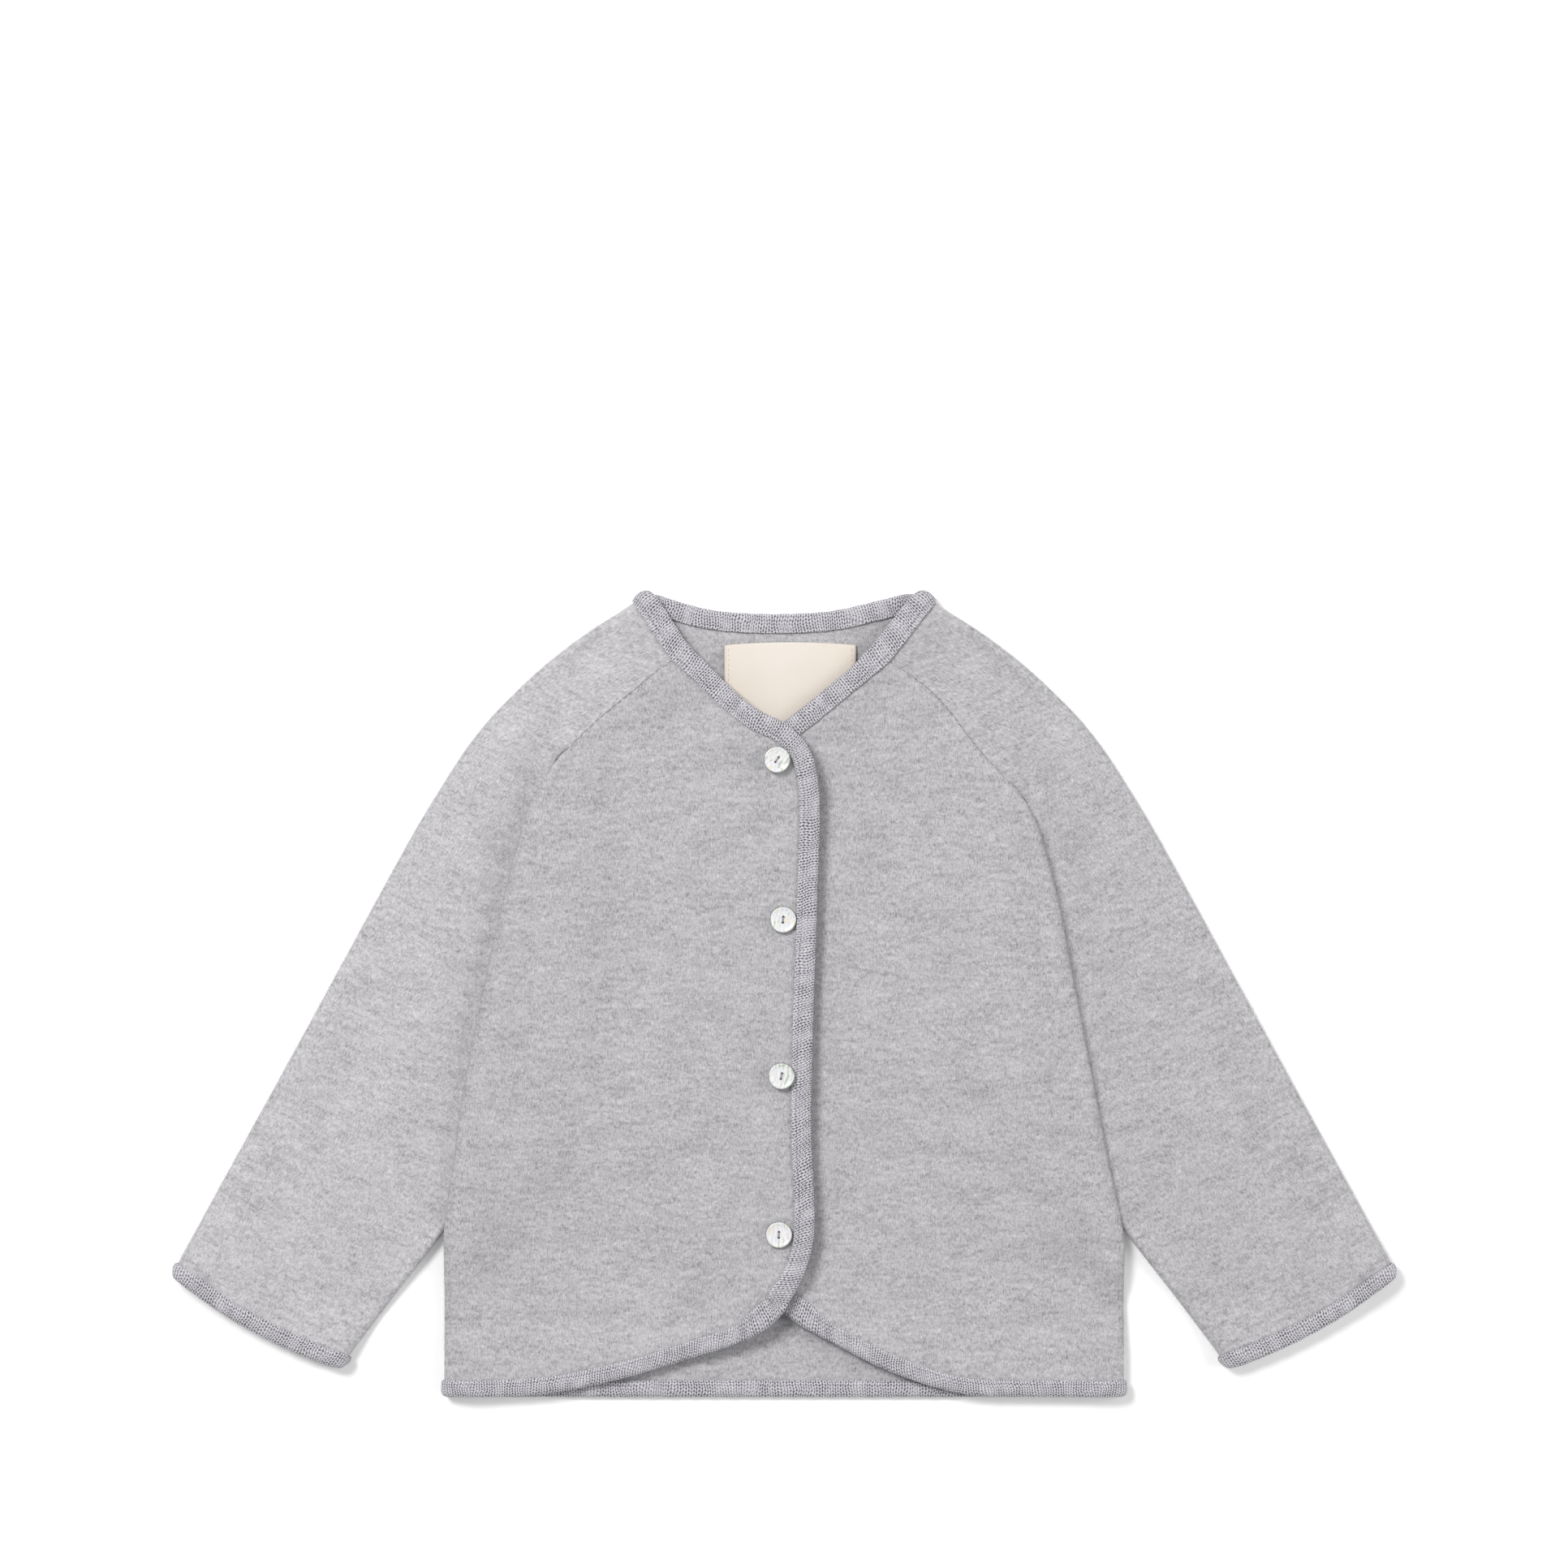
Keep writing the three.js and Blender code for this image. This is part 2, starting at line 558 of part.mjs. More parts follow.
function laySleeve(side, back, pileOfBack, seamHeights = [], neckStrip = null) {
  const stations = sleevePlan(side, back);
  const crossingStep = RAGLAN_STEPS + 1;
  const lower = [];
  for (const station of stations) {
    const roll = station.bound ? BOUND_ROLL : SLEEVE_ROLL;
    const inset = CLOTH / 2 + roll;
    const start = station.back;
    const end = station.outer.clone().addScaledVector(station.away, -inset);
    const turned = stations.indexOf(station) > crossingStep;
    const row = [...SLEEVE_SHARES, 1].map((share) => {
      const inner = turned ? start.clone().addScaledVector(station.away, inset) : start;
      const spot = between(inner, end, share);
      return spot.addScaledVector(station.bow, 4 * share * (1 - share));
    });
    row.forEach((spot) => {
      const base = station.bound ? SHELL : CLOTH / 2;
      const below = pileOfBack.drape(spot.x, spot.y);
      spot.setZ(Math.max(base, below > 0 ? below + GAP + CLOTH / 2 : 0));
    });
    lower.push(row);
    Object.assign(station, { roll, inset, turned });
  }
  const pile = pileOfBack.copy().add(new Sheet(lower, CLOTH, side.sign).solid());
  if (neckStrip) pile.add(neckStrip);
  const uppers = [];
  const rows = stations.map((station, k) => {
    const under = lower[k];
    const inner = station.front.clone().addScaledVector(station.away, station.turned ? station.inset : 0);
    const end = under.at(-1).clone().setZ(0);
    const span = inner.distanceTo(end);
    let fold = 0;
    while (fold < 0.6) {
      const spot = between(inner, end, fold);
      if (Math.abs(spot.x) > foldOut(side, spot.y)) break;
      fold += 0.01;
    }
    const hill = Math.max(fold - HILL_IN / span, 2.2 / span);
    const valley = Math.max(fold + VALLEY_OUT / span, hill + 4.5 / span);
    const shares = [0, hill, valley, mix(valley, 1, 0.33), mix(valley, 1, 0.67)];
    const bound = GAP + SHELL + RIB + (k > crossingStep ? SHELL + RIB - CLOTH / 2 : 0);
    const clearance = station.bound ? bound : GAP + CLOTH / 2;
    const upper = shares.map((share) => {
      const spot = between(inner, end, share);
      spot.addScaledVector(station.bow, 4 * share * (1 - share));
      const filled = !station.bound && k >= crossingStep;
      const puff = filled ? PUFF * Math.sin(Math.PI * Math.max(0, share - valley)) : 0;
      return spot.setZ(pile.drape(spot.x, spot.y, SLEEVE_REACH, SLEEVE_SOFT) + clearance + puff);
    });
    const raised = seamHeights[k];
    if (raised !== undefined) {
      upper[0].setZ(Math.max(upper[0].z, raised));
      upper[1].setZ(Math.max(upper[1].z, mix(upper[1].z, raised, ease((k - 1.5) / 2.5))));
    }
    const lift = station.turned ? Math.max(0, under[0].z + 2 * station.roll - upper[0].z) : 0;
    EDGE_LIFT.forEach((share, n) => upper[n].setZ(upper[n].z + share * lift));
    uppers.push(upper);
    if (k === stations.length - 1) upper.forEach((spot, n) => spot.setZ(uppers[k - 1][n].z));
    const turnBase = under.at(-1).z;
    const roll = station.roll;
    const turn = (angle) => end.clone()
      .addScaledVector(station.away, roll * Math.cos(angle))
      .setZ(turnBase + roll + roll * Math.sin(angle));
    const top = turnBase + 2 * roll;
    upper.push(end.clone().setZ(top));
    const outerTurn = [Math.PI / 4, 0, -Math.PI / 4].map(turn);
    const curl = (base, centre, sense) => {
      const size = station.turned ? (upper[0].z - under[0].z) / 2 : 0;
      if (!station.turned) {
        return [1, 2].map((n) => base.clone().addScaledVector(station.away, -0.05 * n));
      }
      const reach = station.inset - CLOTH / 2;
      return [Math.PI / 4, Math.PI / 2 - SLIT].map((angle) => base.clone()
        .addScaledVector(station.away, -reach * Math.sin(angle))
        .setZ(centre + sense * size * Math.cos(angle)));
    };
    const middle = (upper[0].z + under[0].z) / 2;
    const frontCurl = curl(upper[0], middle, 1).reverse();
    const backCurl = curl(under[0], middle, -1);
    return [...frontCurl, ...upper, ...outerTurn, ...[...under].reverse(), ...backCurl];
  });
  return { sheet: new Sheet(rows, CLOTH, -side.sign, [0, rows[0].length - 1]), stations };
}

const FRONT_ACROSS = RAGLAN_STEPS;
const FRONT_UP = 22;

// One front, from the turned side edge to the centre and from the hem to the raglan seam
function layFront(side, pile, seams) {
  const sign = side.sign;
  const { line } = frontEdge(side);
  const corner = shareAtHeight(line, CORNER_Y, 0.15, 0.5);
  const widthAt = (share) => mix(HEM_WIDTH, PLACKET_WIDTH, ease((share - corner + 0.08) / 0.08));
  const start = (CLOTH / 2 + BOUND_ROLL) / line.getLength();
  const moved = (steps, from, to, distance) => Array.from({ length: steps + 1 }, (_, i) => {
    const share = mix(from, to, steps ? i / steps : 0);
    return movedSideways(line, 1, -sign * (distance ?? widthAt(share)), share, share)[0];
  });
  const bottom = moved(FRONT_ACROSS, start, corner);
  const rounding = CORNER_HALF / line.getLength();
  const hemRow = moved(FRONT_ACROSS, start, corner - rounding, TURN_IN);
  hemRow.push(...moved(0, corner, corner, TURN_IN));
  const centre = moved(FRONT_UP, corner, 1);
  const centreEdge = moved(FRONT_UP, corner + rounding, 1, TURN_IN);
  const raglan = smoothLine(side.raglan.map((row) => placed(row, sign)).reverse());
  const inset = CLOTH / 2 + BODY_ROLL;
  const top = pointsAlong(raglan, FRONT_ACROSS);
  top[0] = raglan.getPointAt(inset / raglan.getLength());
  const sideLine = foldLine(side, inset);
  const low = shareAtHeight(sideLine, bottom[0].y, 0, 0.1);
  const sideRow = pointsAlong(sideLine, FRONT_UP, low, 1);
  sideRow[0] = bottom[0];
  sideRow[FRONT_UP] = top[0];
  centre[0] = bottom[FRONT_ACROSS];
  centre[FRONT_UP] = top[FRONT_ACROSS];
  const rows = [hemRow, ...patch(bottom, top, sideRow, centre)];
  for (let j = 1; j < rows.length; j += 1) rows[j].push(centreEdge[j - 1]);
  const last = rows[0].length - 1;
  rows.forEach((row, j) => {
    const hem = j < 2;
    row.forEach((spot, i) => {
      const bound = hem || i >= last - 1;
      const roll = hem ? BOUND_ROLL : BODY_ROLL;
      const clearance = Math.max(bound ? SHELL + RIB : CLOTH / 2, i ? 0 : roll) + GAP;
      const ridge = Math.max(...seams.map((seam) => seam.height - SEAM_SLOPE * seam.spot.distanceTo(spot)));
      spot.setZ(Math.max(pile.drape(spot.x, spot.y) + clearance, ridge));
    });
  });
  const level = (...spots) => {
    const height = Math.max(...spots.map((spot) => spot.z));
    spots.forEach((spot) => spot.setZ(height));
  };
  rows.slice(1).forEach((row) => level(row[last], row[last - 1]));
  rows[0].slice(0, last - 1).forEach((spot, i) => level(spot, rows[1][i]));
  level(rows[0][last - 1], rows[0][last], rows[1][last - 1], rows[1][last]);
  const whole = rows.map((row, j) => {
    const roll = j < 2 ? BOUND_ROLL : BODY_ROLL;
    const top = j === rows.length - 1;
    const outwards = row[0].clone().sub(row[1]).setZ(0).normalize();
    const curl = [Math.PI / 2 - 0.1, Math.PI / 4].map((angle) => row[0].clone()
      .addScaledVector(outwards, (top ? 0.3 : 1) * roll * Math.sin(angle))
      .setZ(row[0].z - (top ? 0 : roll * (1 - Math.cos(angle)))));
    return [...curl, ...row];
  });
  return new Sheet(whole, CLOTH, -sign, [0]);
}

// What a pair needs: the cloth's edge and the seam line inside it
const pairOf = (sheet, edge, seam) => ({ edge: sheet.place(...edge), seam: sheet.place(...seam) });

function flipped(pair) {
  const turn = ({ point, normal }) => ({ point, normal: normal.clone().negate() });
  return { edge: turn(pair.edge), seam: turn(pair.seam) };
}

function frontPairs(sheet) {
  const last = sheet.rows[0].length - 1;
  const pairs = [];
  for (let i = 0; i < last; i += 1) pairs.push(pairOf(sheet, [0, i], [1, i]));
  pairs.push(pairOf(sheet, [0, last], [1, last - 1]));
  for (let j = 1; j < sheet.rows.length; j += 1) pairs.push(pairOf(sheet, [j, last], [j, last - 1]));
  return pairs;
}

// The sleeve's columns: the upper layer, the middle of the outer turn, and the lower layer
const SLEEVE_COLUMNS = { upper: 3, apex: 9, lower: 15 };

function sleeveNeckPairs(sheet, from, to) {
  const pairs = [];
  for (let i = from; i <= to; i += 1) pairs.push(pairOf(sheet, [0, i], [1, i]));
  return pairs;
}

function cuffPairs(sheet) {
  const end = sheet.rows.length - 1;
  return sheet.rows[end].map((_, i) => pairOf(sheet, [end, i], [end - 1, i]));
}

function button(place, pile) {
  const { radius, height, hole, spread, flat, seat } = BUTTON;
  const outline = [
    [0, 0], [flat * radius, 0], [radius, 0.5 * height], [0.93 * radius, height],
    [0.76 * radius, 0.93 * height], [0, 0.66 * height],
  ].map(([out, up]) => new THREE.Vector2(out, up));
  const asSolid = (geometry) => {
    geometry.deleteAttribute("normal");
    geometry.deleteAttribute("uv");
    const merged = mergeVertices(geometry, 1e-4);
    const vertProperties = new Float32Array(merged.getAttribute("position").array);
    const triVerts = new Uint32Array(merged.getIndex().array);
    return new wasm.Manifold(new wasm.Mesh({ numProp: 3, vertProperties, triVerts }));
  };
  const disc = new THREE.LatheGeometry(outline, 24).rotateX(Math.PI / 2);
  let body = asSolid(disc);
  for (const side of [-1, 1]) {
    const bore = new THREE.CylinderGeometry(hole, hole, 4 * height, 8).rotateX(Math.PI / 2);
    body = body.subtract(asSolid(bore.translate(0, side * spread, 0)));
  }
  const { vertProperties, triVerts } = body.getMesh();
  const geometry = facingOut(Array.from(vertProperties), Array.from(triVerts));
  const level = pile.highest(place.x, place.y, seat * radius) + GAP;
  return geometry.rotateZ(THREE.MathUtils.degToRad(-place.turn)).translate(place.x, place.y, level);
}

function layLabel(pile) {
  const { left, right, top, bottom, thickness, arch } = LABEL;
  const [across, up] = [6, 4];
  const rows = Array.from({ length: up + 1 }, (_, j) => Array.from({ length: across + 1 }, (__, i) => {
    const u = i / across;
    const x = mix(left, right, u);
    const y = mix(bottom, top, j / up) + arch * 4 * u * (1 - u) * (j / up);
    return at(x, y, pile.highest(x, y, 12) + GAP + thickness / 2);
  }));
  return new Sheet(rows, thickness, 1);
}

const back = layBack();
const backSolid = addPiece("back", back.solid(), CLOTH_FINISH);
const backLast = back.rows.length - 1;
const backHem = back.rows[0].map((_, i) => pairOf(back, [0, i], [1, i]));
const backNeck = back.rows[0].map((_, i) => flipped(pairOf(back, [backLast, i], [backLast - 1, i])));
const backHemSolid = addPiece("binding_back_hem", binding(backHem, 0), KNIT_FINISH);
const labelSolid = addPiece("label", layLabel(new Pile().add(backSolid)).solid(), LABEL_FINISH);

const inside = new Pile().add(backSolid).add(backHemSolid).add(labelSolid);
for (const [name, side] of Object.entries(SIDE)) {
  const crossing = side.raglan.at(-1);
  const under = new Pile().add(backSolid, (x, y) => y < crossing.y && x * side.sign > 0);
  Object.assign(side, { name, under, first: laySleeve(side, back, under) });
}
const neckFrom = ({ sheet }) => sleeveNeckPairs(sheet, SLEEVE_COLUMNS.apex, SLEEVE_COLUMNS.lower - 1);
const neckPairs = [...neckFrom(SIDE.right.first), ...backNeck, ...neckFrom(SIDE.left.first).reverse()];
const neckSolid = addPiece("binding_back_neck", binding(neckPairs, GAP / 2), KNIT_FINISH);

const sleeves = {};
for (const side of Object.values(SIDE)) {
  const crossing = side.raglan.at(-1);
  const hidden = (x, y) => y < crossing.y - 2 && Math.abs(x) < foldOut(side, y) + 3;
  inside.add(laySleeve(side, back, side.under, [], neckSolid).sheet.solid(), hidden);
}
inside.add(neckSolid);

for (const side of Object.values(SIDE)) {
  const plain = laySleeve(side, back, side.under, [], neckSolid);
  const heights = plain.stations.slice(0, RAGLAN_STEPS + 1).map((station, k) => {
    const clearance = GAP + (station.bound ? SHELL + RIB : CLOTH / 2);
    const own = plain.sheet.rows[k][SLEEVE_COLUMNS.upper - 1].z;
    return Math.max(own, inside.drape(station.front.x, station.front.y) + clearance);
  });
  side.seams = heights.map((height, k) => ({ height, spot: plain.stations[k].front.clone().setZ(0) }));
  const { sheet } = laySleeve(side, back, side.under, heights, neckSolid);
  sleeves[side.name] = sheet;
  addPiece(`sleeve_${side.name}`, sheet.solid(), CLOTH_FINISH);
  addPiece(`cuff_binding_${side.name}`, binding(cuffPairs(sheet), GAP), KNIT_FINISH);
}

for (const side of [SIDE.left, SIDE.right]) {
  const front = layFront(side, inside, side.seams);
  const solid = addPiece(`front_${side.name}`, front.solid(), CLOTH_FINISH);
  const shoulder = sleeveNeckPairs(sleeves[side.name], SLEEVE_COLUMNS.upper, SLEEVE_COLUMNS.apex);
  const strip = binding([...frontPairs(front), ...shoulder], GAP / 2);
  inside.add(solid).add(addPiece(`binding_front_${side.name}`, strip, KNIT_FINISH));
}

const byButton = (x, y) => BUTTONS.some((place) => Math.hypot(x - place.x, y - place.y) < 2 * BUTTON.radius);
const underButtons = new Pile(FINE_CELL);
for (const name of ["front_right", "binding_front_right"]) {
  underButtons.add(garment.getObjectByName(name).geometry, byButton);
}
BUTTONS.forEach((place, k) => addPiece(`button_${k + 1}`, button(place, underButtons), SHELL_FINISH));

export default garment;
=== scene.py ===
"""A baby's raglan cardigan of brushed heather jersey, buttoned and laid flat on its back.

Lengths are metres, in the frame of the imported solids: X runs to the right of someone looking at
the front, Y towards the neck, Z up. The right side is the wearer's right. Tables that a cutter
would measure are written in millimetres and are scaled by MM where they are read.
"""

import logging
import math
from dataclasses import dataclass, field
from enum import Enum

import bpy
import numpy as np
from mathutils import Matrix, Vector, noise
from mathutils.bvhtree import BVHTree


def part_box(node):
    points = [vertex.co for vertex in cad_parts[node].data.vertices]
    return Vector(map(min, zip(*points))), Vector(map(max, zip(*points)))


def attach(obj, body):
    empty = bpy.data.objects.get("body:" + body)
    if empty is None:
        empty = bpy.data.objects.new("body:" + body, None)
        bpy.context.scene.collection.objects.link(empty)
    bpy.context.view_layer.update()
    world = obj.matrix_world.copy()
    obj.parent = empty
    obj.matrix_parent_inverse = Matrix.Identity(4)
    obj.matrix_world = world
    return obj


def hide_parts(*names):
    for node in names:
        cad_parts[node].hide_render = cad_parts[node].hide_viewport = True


Rows = tuple[tuple[float, float], ...]
Piece = bpy.types.Object
Finish = bpy.types.Material
Socket = bpy.types.NodeSocket
LOG = logging.getLogger("cardigan")
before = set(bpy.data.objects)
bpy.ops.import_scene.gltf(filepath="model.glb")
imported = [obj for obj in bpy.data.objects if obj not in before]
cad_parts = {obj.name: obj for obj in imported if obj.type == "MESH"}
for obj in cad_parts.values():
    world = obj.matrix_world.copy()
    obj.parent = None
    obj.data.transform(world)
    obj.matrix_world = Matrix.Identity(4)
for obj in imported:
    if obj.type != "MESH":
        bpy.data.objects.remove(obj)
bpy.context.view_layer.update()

MM = 0.001
CLOTH = 1.4 * MM
KNIT = 1.0 * MM
GAP = 0.3 * MM
RAGLAN_GAP = 0.4 * MM
TURN_IN = GAP + KNIT
SHELL = CLOTH / 2 + GAP + KNIT

PLACKET_WIDTH = 8.3 * MM
NECK_WIDTH = 8.0 * MM
HEM_WIDTH = 6.8 * MM
CUFF_WIDTH = 6.6 * MM

BODY_ROLL = 2.0 * MM
SLEEVE_ROLL = 1.4 * MM
BOUND_ROLL = 2.6 * MM

HEM_Y = -174 * MM
CORNER_Y = -136 * MM
CORNER_HALF = 4.3 * MM
SHOULDER_SHARE = 0.24
NECK_SEAM_SHARE = 0.026
SLIT = 0.1
TINY = 1e-6

# A thread is round a direction that is never quite upright, and narrower towards its ends
THREAD_UP = (1e-4, 1e-4, 1 + 1e-4)
THREAD_END = 0.12
THREAD_TAPER = 0.35

# Steps of the solids' grids. A sleeve's grid runs round it, from the column on its upper inner
# edge to the one on its outer fold and back below; its neck edge shows between these three.
RAGLAN_STEPS = 7
ARM_STEPS = 15
FRONT_UP = 22
NECK_FRONT_COLUMN = 3
SLEEVE_APEX = 9
NECK_BACK_COLUMN = 14

# Outer edges of the fronts' bindings, from the side of the hem, round the centre, to the neck (mm)
TOP_FRONT_EDGE: Rows = (
    (-146.3, -173.4), (-108.2, -172.7), (-73.3, -166.6), (-36.3, -155.8), (-20.9, -150.7),
    (-5.5, -142.5), (4.4, -128.5), (11.4, -111.5), (12.7, -94), (11.3, -60), (12.2, -8),
    (13.7, 37), (13.9, 91.8), (8.1, 108.7), (-1, 116.1), (-12.4, 121.7), (-25.3, 132.9),
    (-42, 149.6),
)
UNDER_FRONT_EDGE: Rows = (
    (146, -173.4), (108, -173.4), (76.4, -172.2), (44.9, -162.6), (24, -152.1), (3, -140.6),
    (-8, -127), (-13, -108), (-13.4, -60), (-13, 0), (-13.4, 60), (-13.4, 90), (-8, 108.5),
    (0.9, 116.4), (14, 127.3), (30.8, 141.3), (38.5, 149.8),
)
BACK_NECK_EDGE: Rows = (
    (-50.5, 169.2), (-34.8, 164.7), (-20.8, 162.9), (2.6, 162.4), (21.5, 163.8), (36, 167),
    (50.5, 170.6),
)

# A sleeve's shoulder and outer edge, and its inner edge from the underarm to the cuff, as
# distances out from the middle and heights (mm)
SLEEVE_OUTER: Rows = (
    (64.9, 167.5), (84.8, 154.5), (103, 140.6), (118, 126.6), (131, 112.6), (141, 98.6),
    (149.8, 84.6), (158.2, 70.7), (208.2, -20.5), (260.6, -116.4),
)
SLEEVE_INNER: Rows = (
    (101, 60), (101, 20), (104, -10), (109, -38), (118, -62), (130, -81.5), (146.5, -103.3),
    (171.8, -136), (187, -156.6),
)
NECK_POINT = (57.8, 174)
CUFF_TIP = (263.6, -122.6)
CUFF_HEEL = (190.5, -162.6)
CUFF_BOW = 3.2 * MM
RAGLAN_OUTWARDS = (0.66, 0.75)
NECK_OUTWARDS = (0.6, -0.8)
CUFF_OUTWARDS = (0.48, -0.88)
BACK_OUTWARDS = (0.9, 0.6)
ARM_TOP = (108, 120)
ARM_END = (227, -142.6)


class Side(Enum):
    """The wearer's right and left, with the side's sign along X."""

    RIGHT = -1
    LEFT = 1

    @property
    def label(self) -> str:
        """The word used in the names of this side's pieces."""
        return self.name.lower()


@dataclass(frozen=True)
class SideLines:
    """The lines of one side, as distances out from the middle and heights, in millimetres."""

    side: Side
    edge: Rows
    raglan: Rows
    fold: Rows


RIGHT_LINES = SideLines(
    side=Side.RIGHT,
    edge=TOP_FRONT_EDGE,
    raglan=((48.2, 142.5), (56.8, 136.4), (65.6, 129), (81.6, 115.7), (98.4, 99)),
    fold=(
        (52, 162), (70, 149), (84.8, 134.3), (93.5, 114.3), (99.5, 102.8), (108, 86),
        (116.3, 59.4), (125.3, 22), (134.8, -24.1), (141.5, -66), (146.5, -104.2),
        (146.3, -120), (146.3, -174),
    ),
)
LEFT_LINES = SideLines(
    side=Side.LEFT,
    edge=UNDER_FRONT_EDGE,
    raglan=((44.9, 142), (58.6, 132.9), (70.1, 121.7), (78.8, 110.1), (89.3, 97.6), (103.3, 82.2)),
    fold=(
        (52, 162), (72, 154), (88.6, 142.3), (92.8, 118.2), (97.4, 105.6), (106.1, 80.1),
        (115.9, 49), (125.2, 1.4), (134.4, -46.5), (141, -80.8), (145.8, -103.5), (146, -123),
        (146, -174),
    ),
)


def mix(a: float, b: float, t: float) -> float:
    """The value a share t of the way from a to b."""
    return a + (b - a) * t


def even(low: float, high: float, steps: int) -> np.ndarray:
    """Values from low to high, a number of equal steps apart."""
    return np.linspace(low, high, steps + 1)


def ease(t: np.ndarray | float) -> np.ndarray | float:
    """A soft step from 0 to 1."""
    held = np.clip(t, 0, 1)
    return held * held * (3 - 2 * held)


def unit(v: np.ndarray) -> np.ndarray:
    """The vectors along the last axis, at length 1."""
    return v / np.maximum(np.linalg.norm(v, axis=-1, keepdims=True), 1e-12)


def flat_points(rows: Rows, sign: int = 1) -> np.ndarray:
    """A table's rows as points of the plan, in metres."""
    return np.array([(sign * x, y) for x, y in rows], float) * MM


def sideways(direction: tuple[float, float], sign: int) -> np.ndarray:
    """A direction given for the left side, on the side of a sign."""
    return np.array([sign * direction[0], direction[1]])


def walk(points: np.ndarray) -> np.ndarray:
    """The distance walked along a row of points, at each of them."""
    steps = np.linalg.norm(np.diff(points, axis=0), axis=1)
    return np.concatenate([[0], steps.cumsum()])


def nearby(values: np.ndarray, walked: np.ndarray, wanted: np.ndarray | float) -> np.ndarray:
    """The rows of a table of three columns at distances between those of its own rows."""
    return np.stack([np.interp(wanted, walked, values[:, k]) for k in range(3)], axis=-1)


class SmoothLine:
    """A centripetal spline through points of the plan, walked by shares of its length."""

    SAMPLES = 800
    TRIES = 600
    STEP = 1e-4

    def __init__(self, points: np.ndarray) -> None:
        """Measures the line.

        Args:
            points: the points in order, one row each.
        """
        self.points = np.asarray(points, float)
        self.times = even(0, 1, self.SAMPLES)
        self.walked = walk(self._spot(self.times))
        self.length = float(self.walked[-1])

    def _spot(self, times: np.ndarray) -> np.ndarray:
        """The points at times from 0 to 1, which take as long from each given point to the next.

        Args:
            times: the times.

        Returns:
            One point for each time.
        """
        p = self.points
        last = len(p) - 1
        padded = np.vstack([2 * p[0] - p[1], p, 2 * p[-1] - p[-2]])
        place = np.clip(times, 0, 1) * last
        start = np.minimum(place.astype(int), last - 1)
        t = (place - start)[:, None]
        a, b, c, d = (padded[start + k] for k in range(4))
        gaps = [np.linalg.norm(q - r, axis=1)[:, None] for q, r in ((b, a), (c, b), (d, c))]
        before, here, after = (np.maximum(np.sqrt(gap), TINY) for gap in gaps)
        out = (b - a) / before - (c - a) / (before + here) + (c - b) / here
        into = (c - b) / here - (d - b) / (here + after) + (d - c) / after
        out, into = out * here, into * here
        bend = -3 * b + 3 * c - 2 * out - into
        twist = 2 * b - 2 * c + out + into
        return b + t * (out + t * (bend + t * twist))

    def at(self, shares: np.ndarray | float) -> np.ndarray:
        """The points at shares of the length."""
        wanted = np.atleast_1d(np.asarray(shares, float)) * self.length
        return self._spot(np.interp(wanted, self.walked, self.times))

    def tangent(self, shares: np.ndarray | float) -> np.ndarray:
        """The directions of the run.

        Args:
            shares: where along the line.

        Returns:
            One unit vector for each share.
        """
        wanted = np.atleast_1d(np.asarray(shares, float)) * self.length
        times = np.interp(wanted, self.walked, self.times)
        low, high = np.clip(times - self.STEP, 0, 1), np.clip(times + self.STEP, 0, 1)
        return unit(self._spot(high) - self._spot(low))

    def beside(self, shares: np.ndarray | float, distance: np.ndarray | float) -> np.ndarray:
        """Points moved sideways from the line.

        Args:
            shares: where along the line.
            distance: how far, to the left of the run where it is positive.

        Returns:
            One point for each share.
        """
        run = self.tangent(shares)
        away = np.stack([-run[:, 1], run[:, 0]], axis=1)
        return self.at(shares) + away * np.reshape(distance, (-1, 1))

    def share_at_height(self, y: float, low: float, high: float) -> float:
        """The share between low and high where the line passes nearest to a height."""
        tries = even(low, high, self.TRIES)
        return float(tries[np.argmin(np.abs(self.at(tries)[:, 1] - y))])


def patch(bottom: np.ndarray, top: np.ndarray, left: np.ndarray, right: np.ndarray) -> np.ndarray:
    """Fills four border rows with a grid of points.

    Args:
        bottom: the lowest row, from left to right.
        top: the highest row, from left to right.
        left: the left border, from bottom to top.
        right: the right border, from bottom to top.

    Returns:
        The grid, one row for each point of the left border.
    """
    u = np.linspace(0, 1, len(bottom))[None, :, None]
    v = np.linspace(0, 1, len(left))[:, None, None]
    ruled = bottom[None] * (1 - v) + top[None] * v + left[:, None] * (1 - u) + right[:, None] * u
    low = bottom[0] * (1 - u) + bottom[-1] * u
    high = top[0] * (1 - u) + top[-1] * u
    return ruled - (low * (1 - v) + high * v)


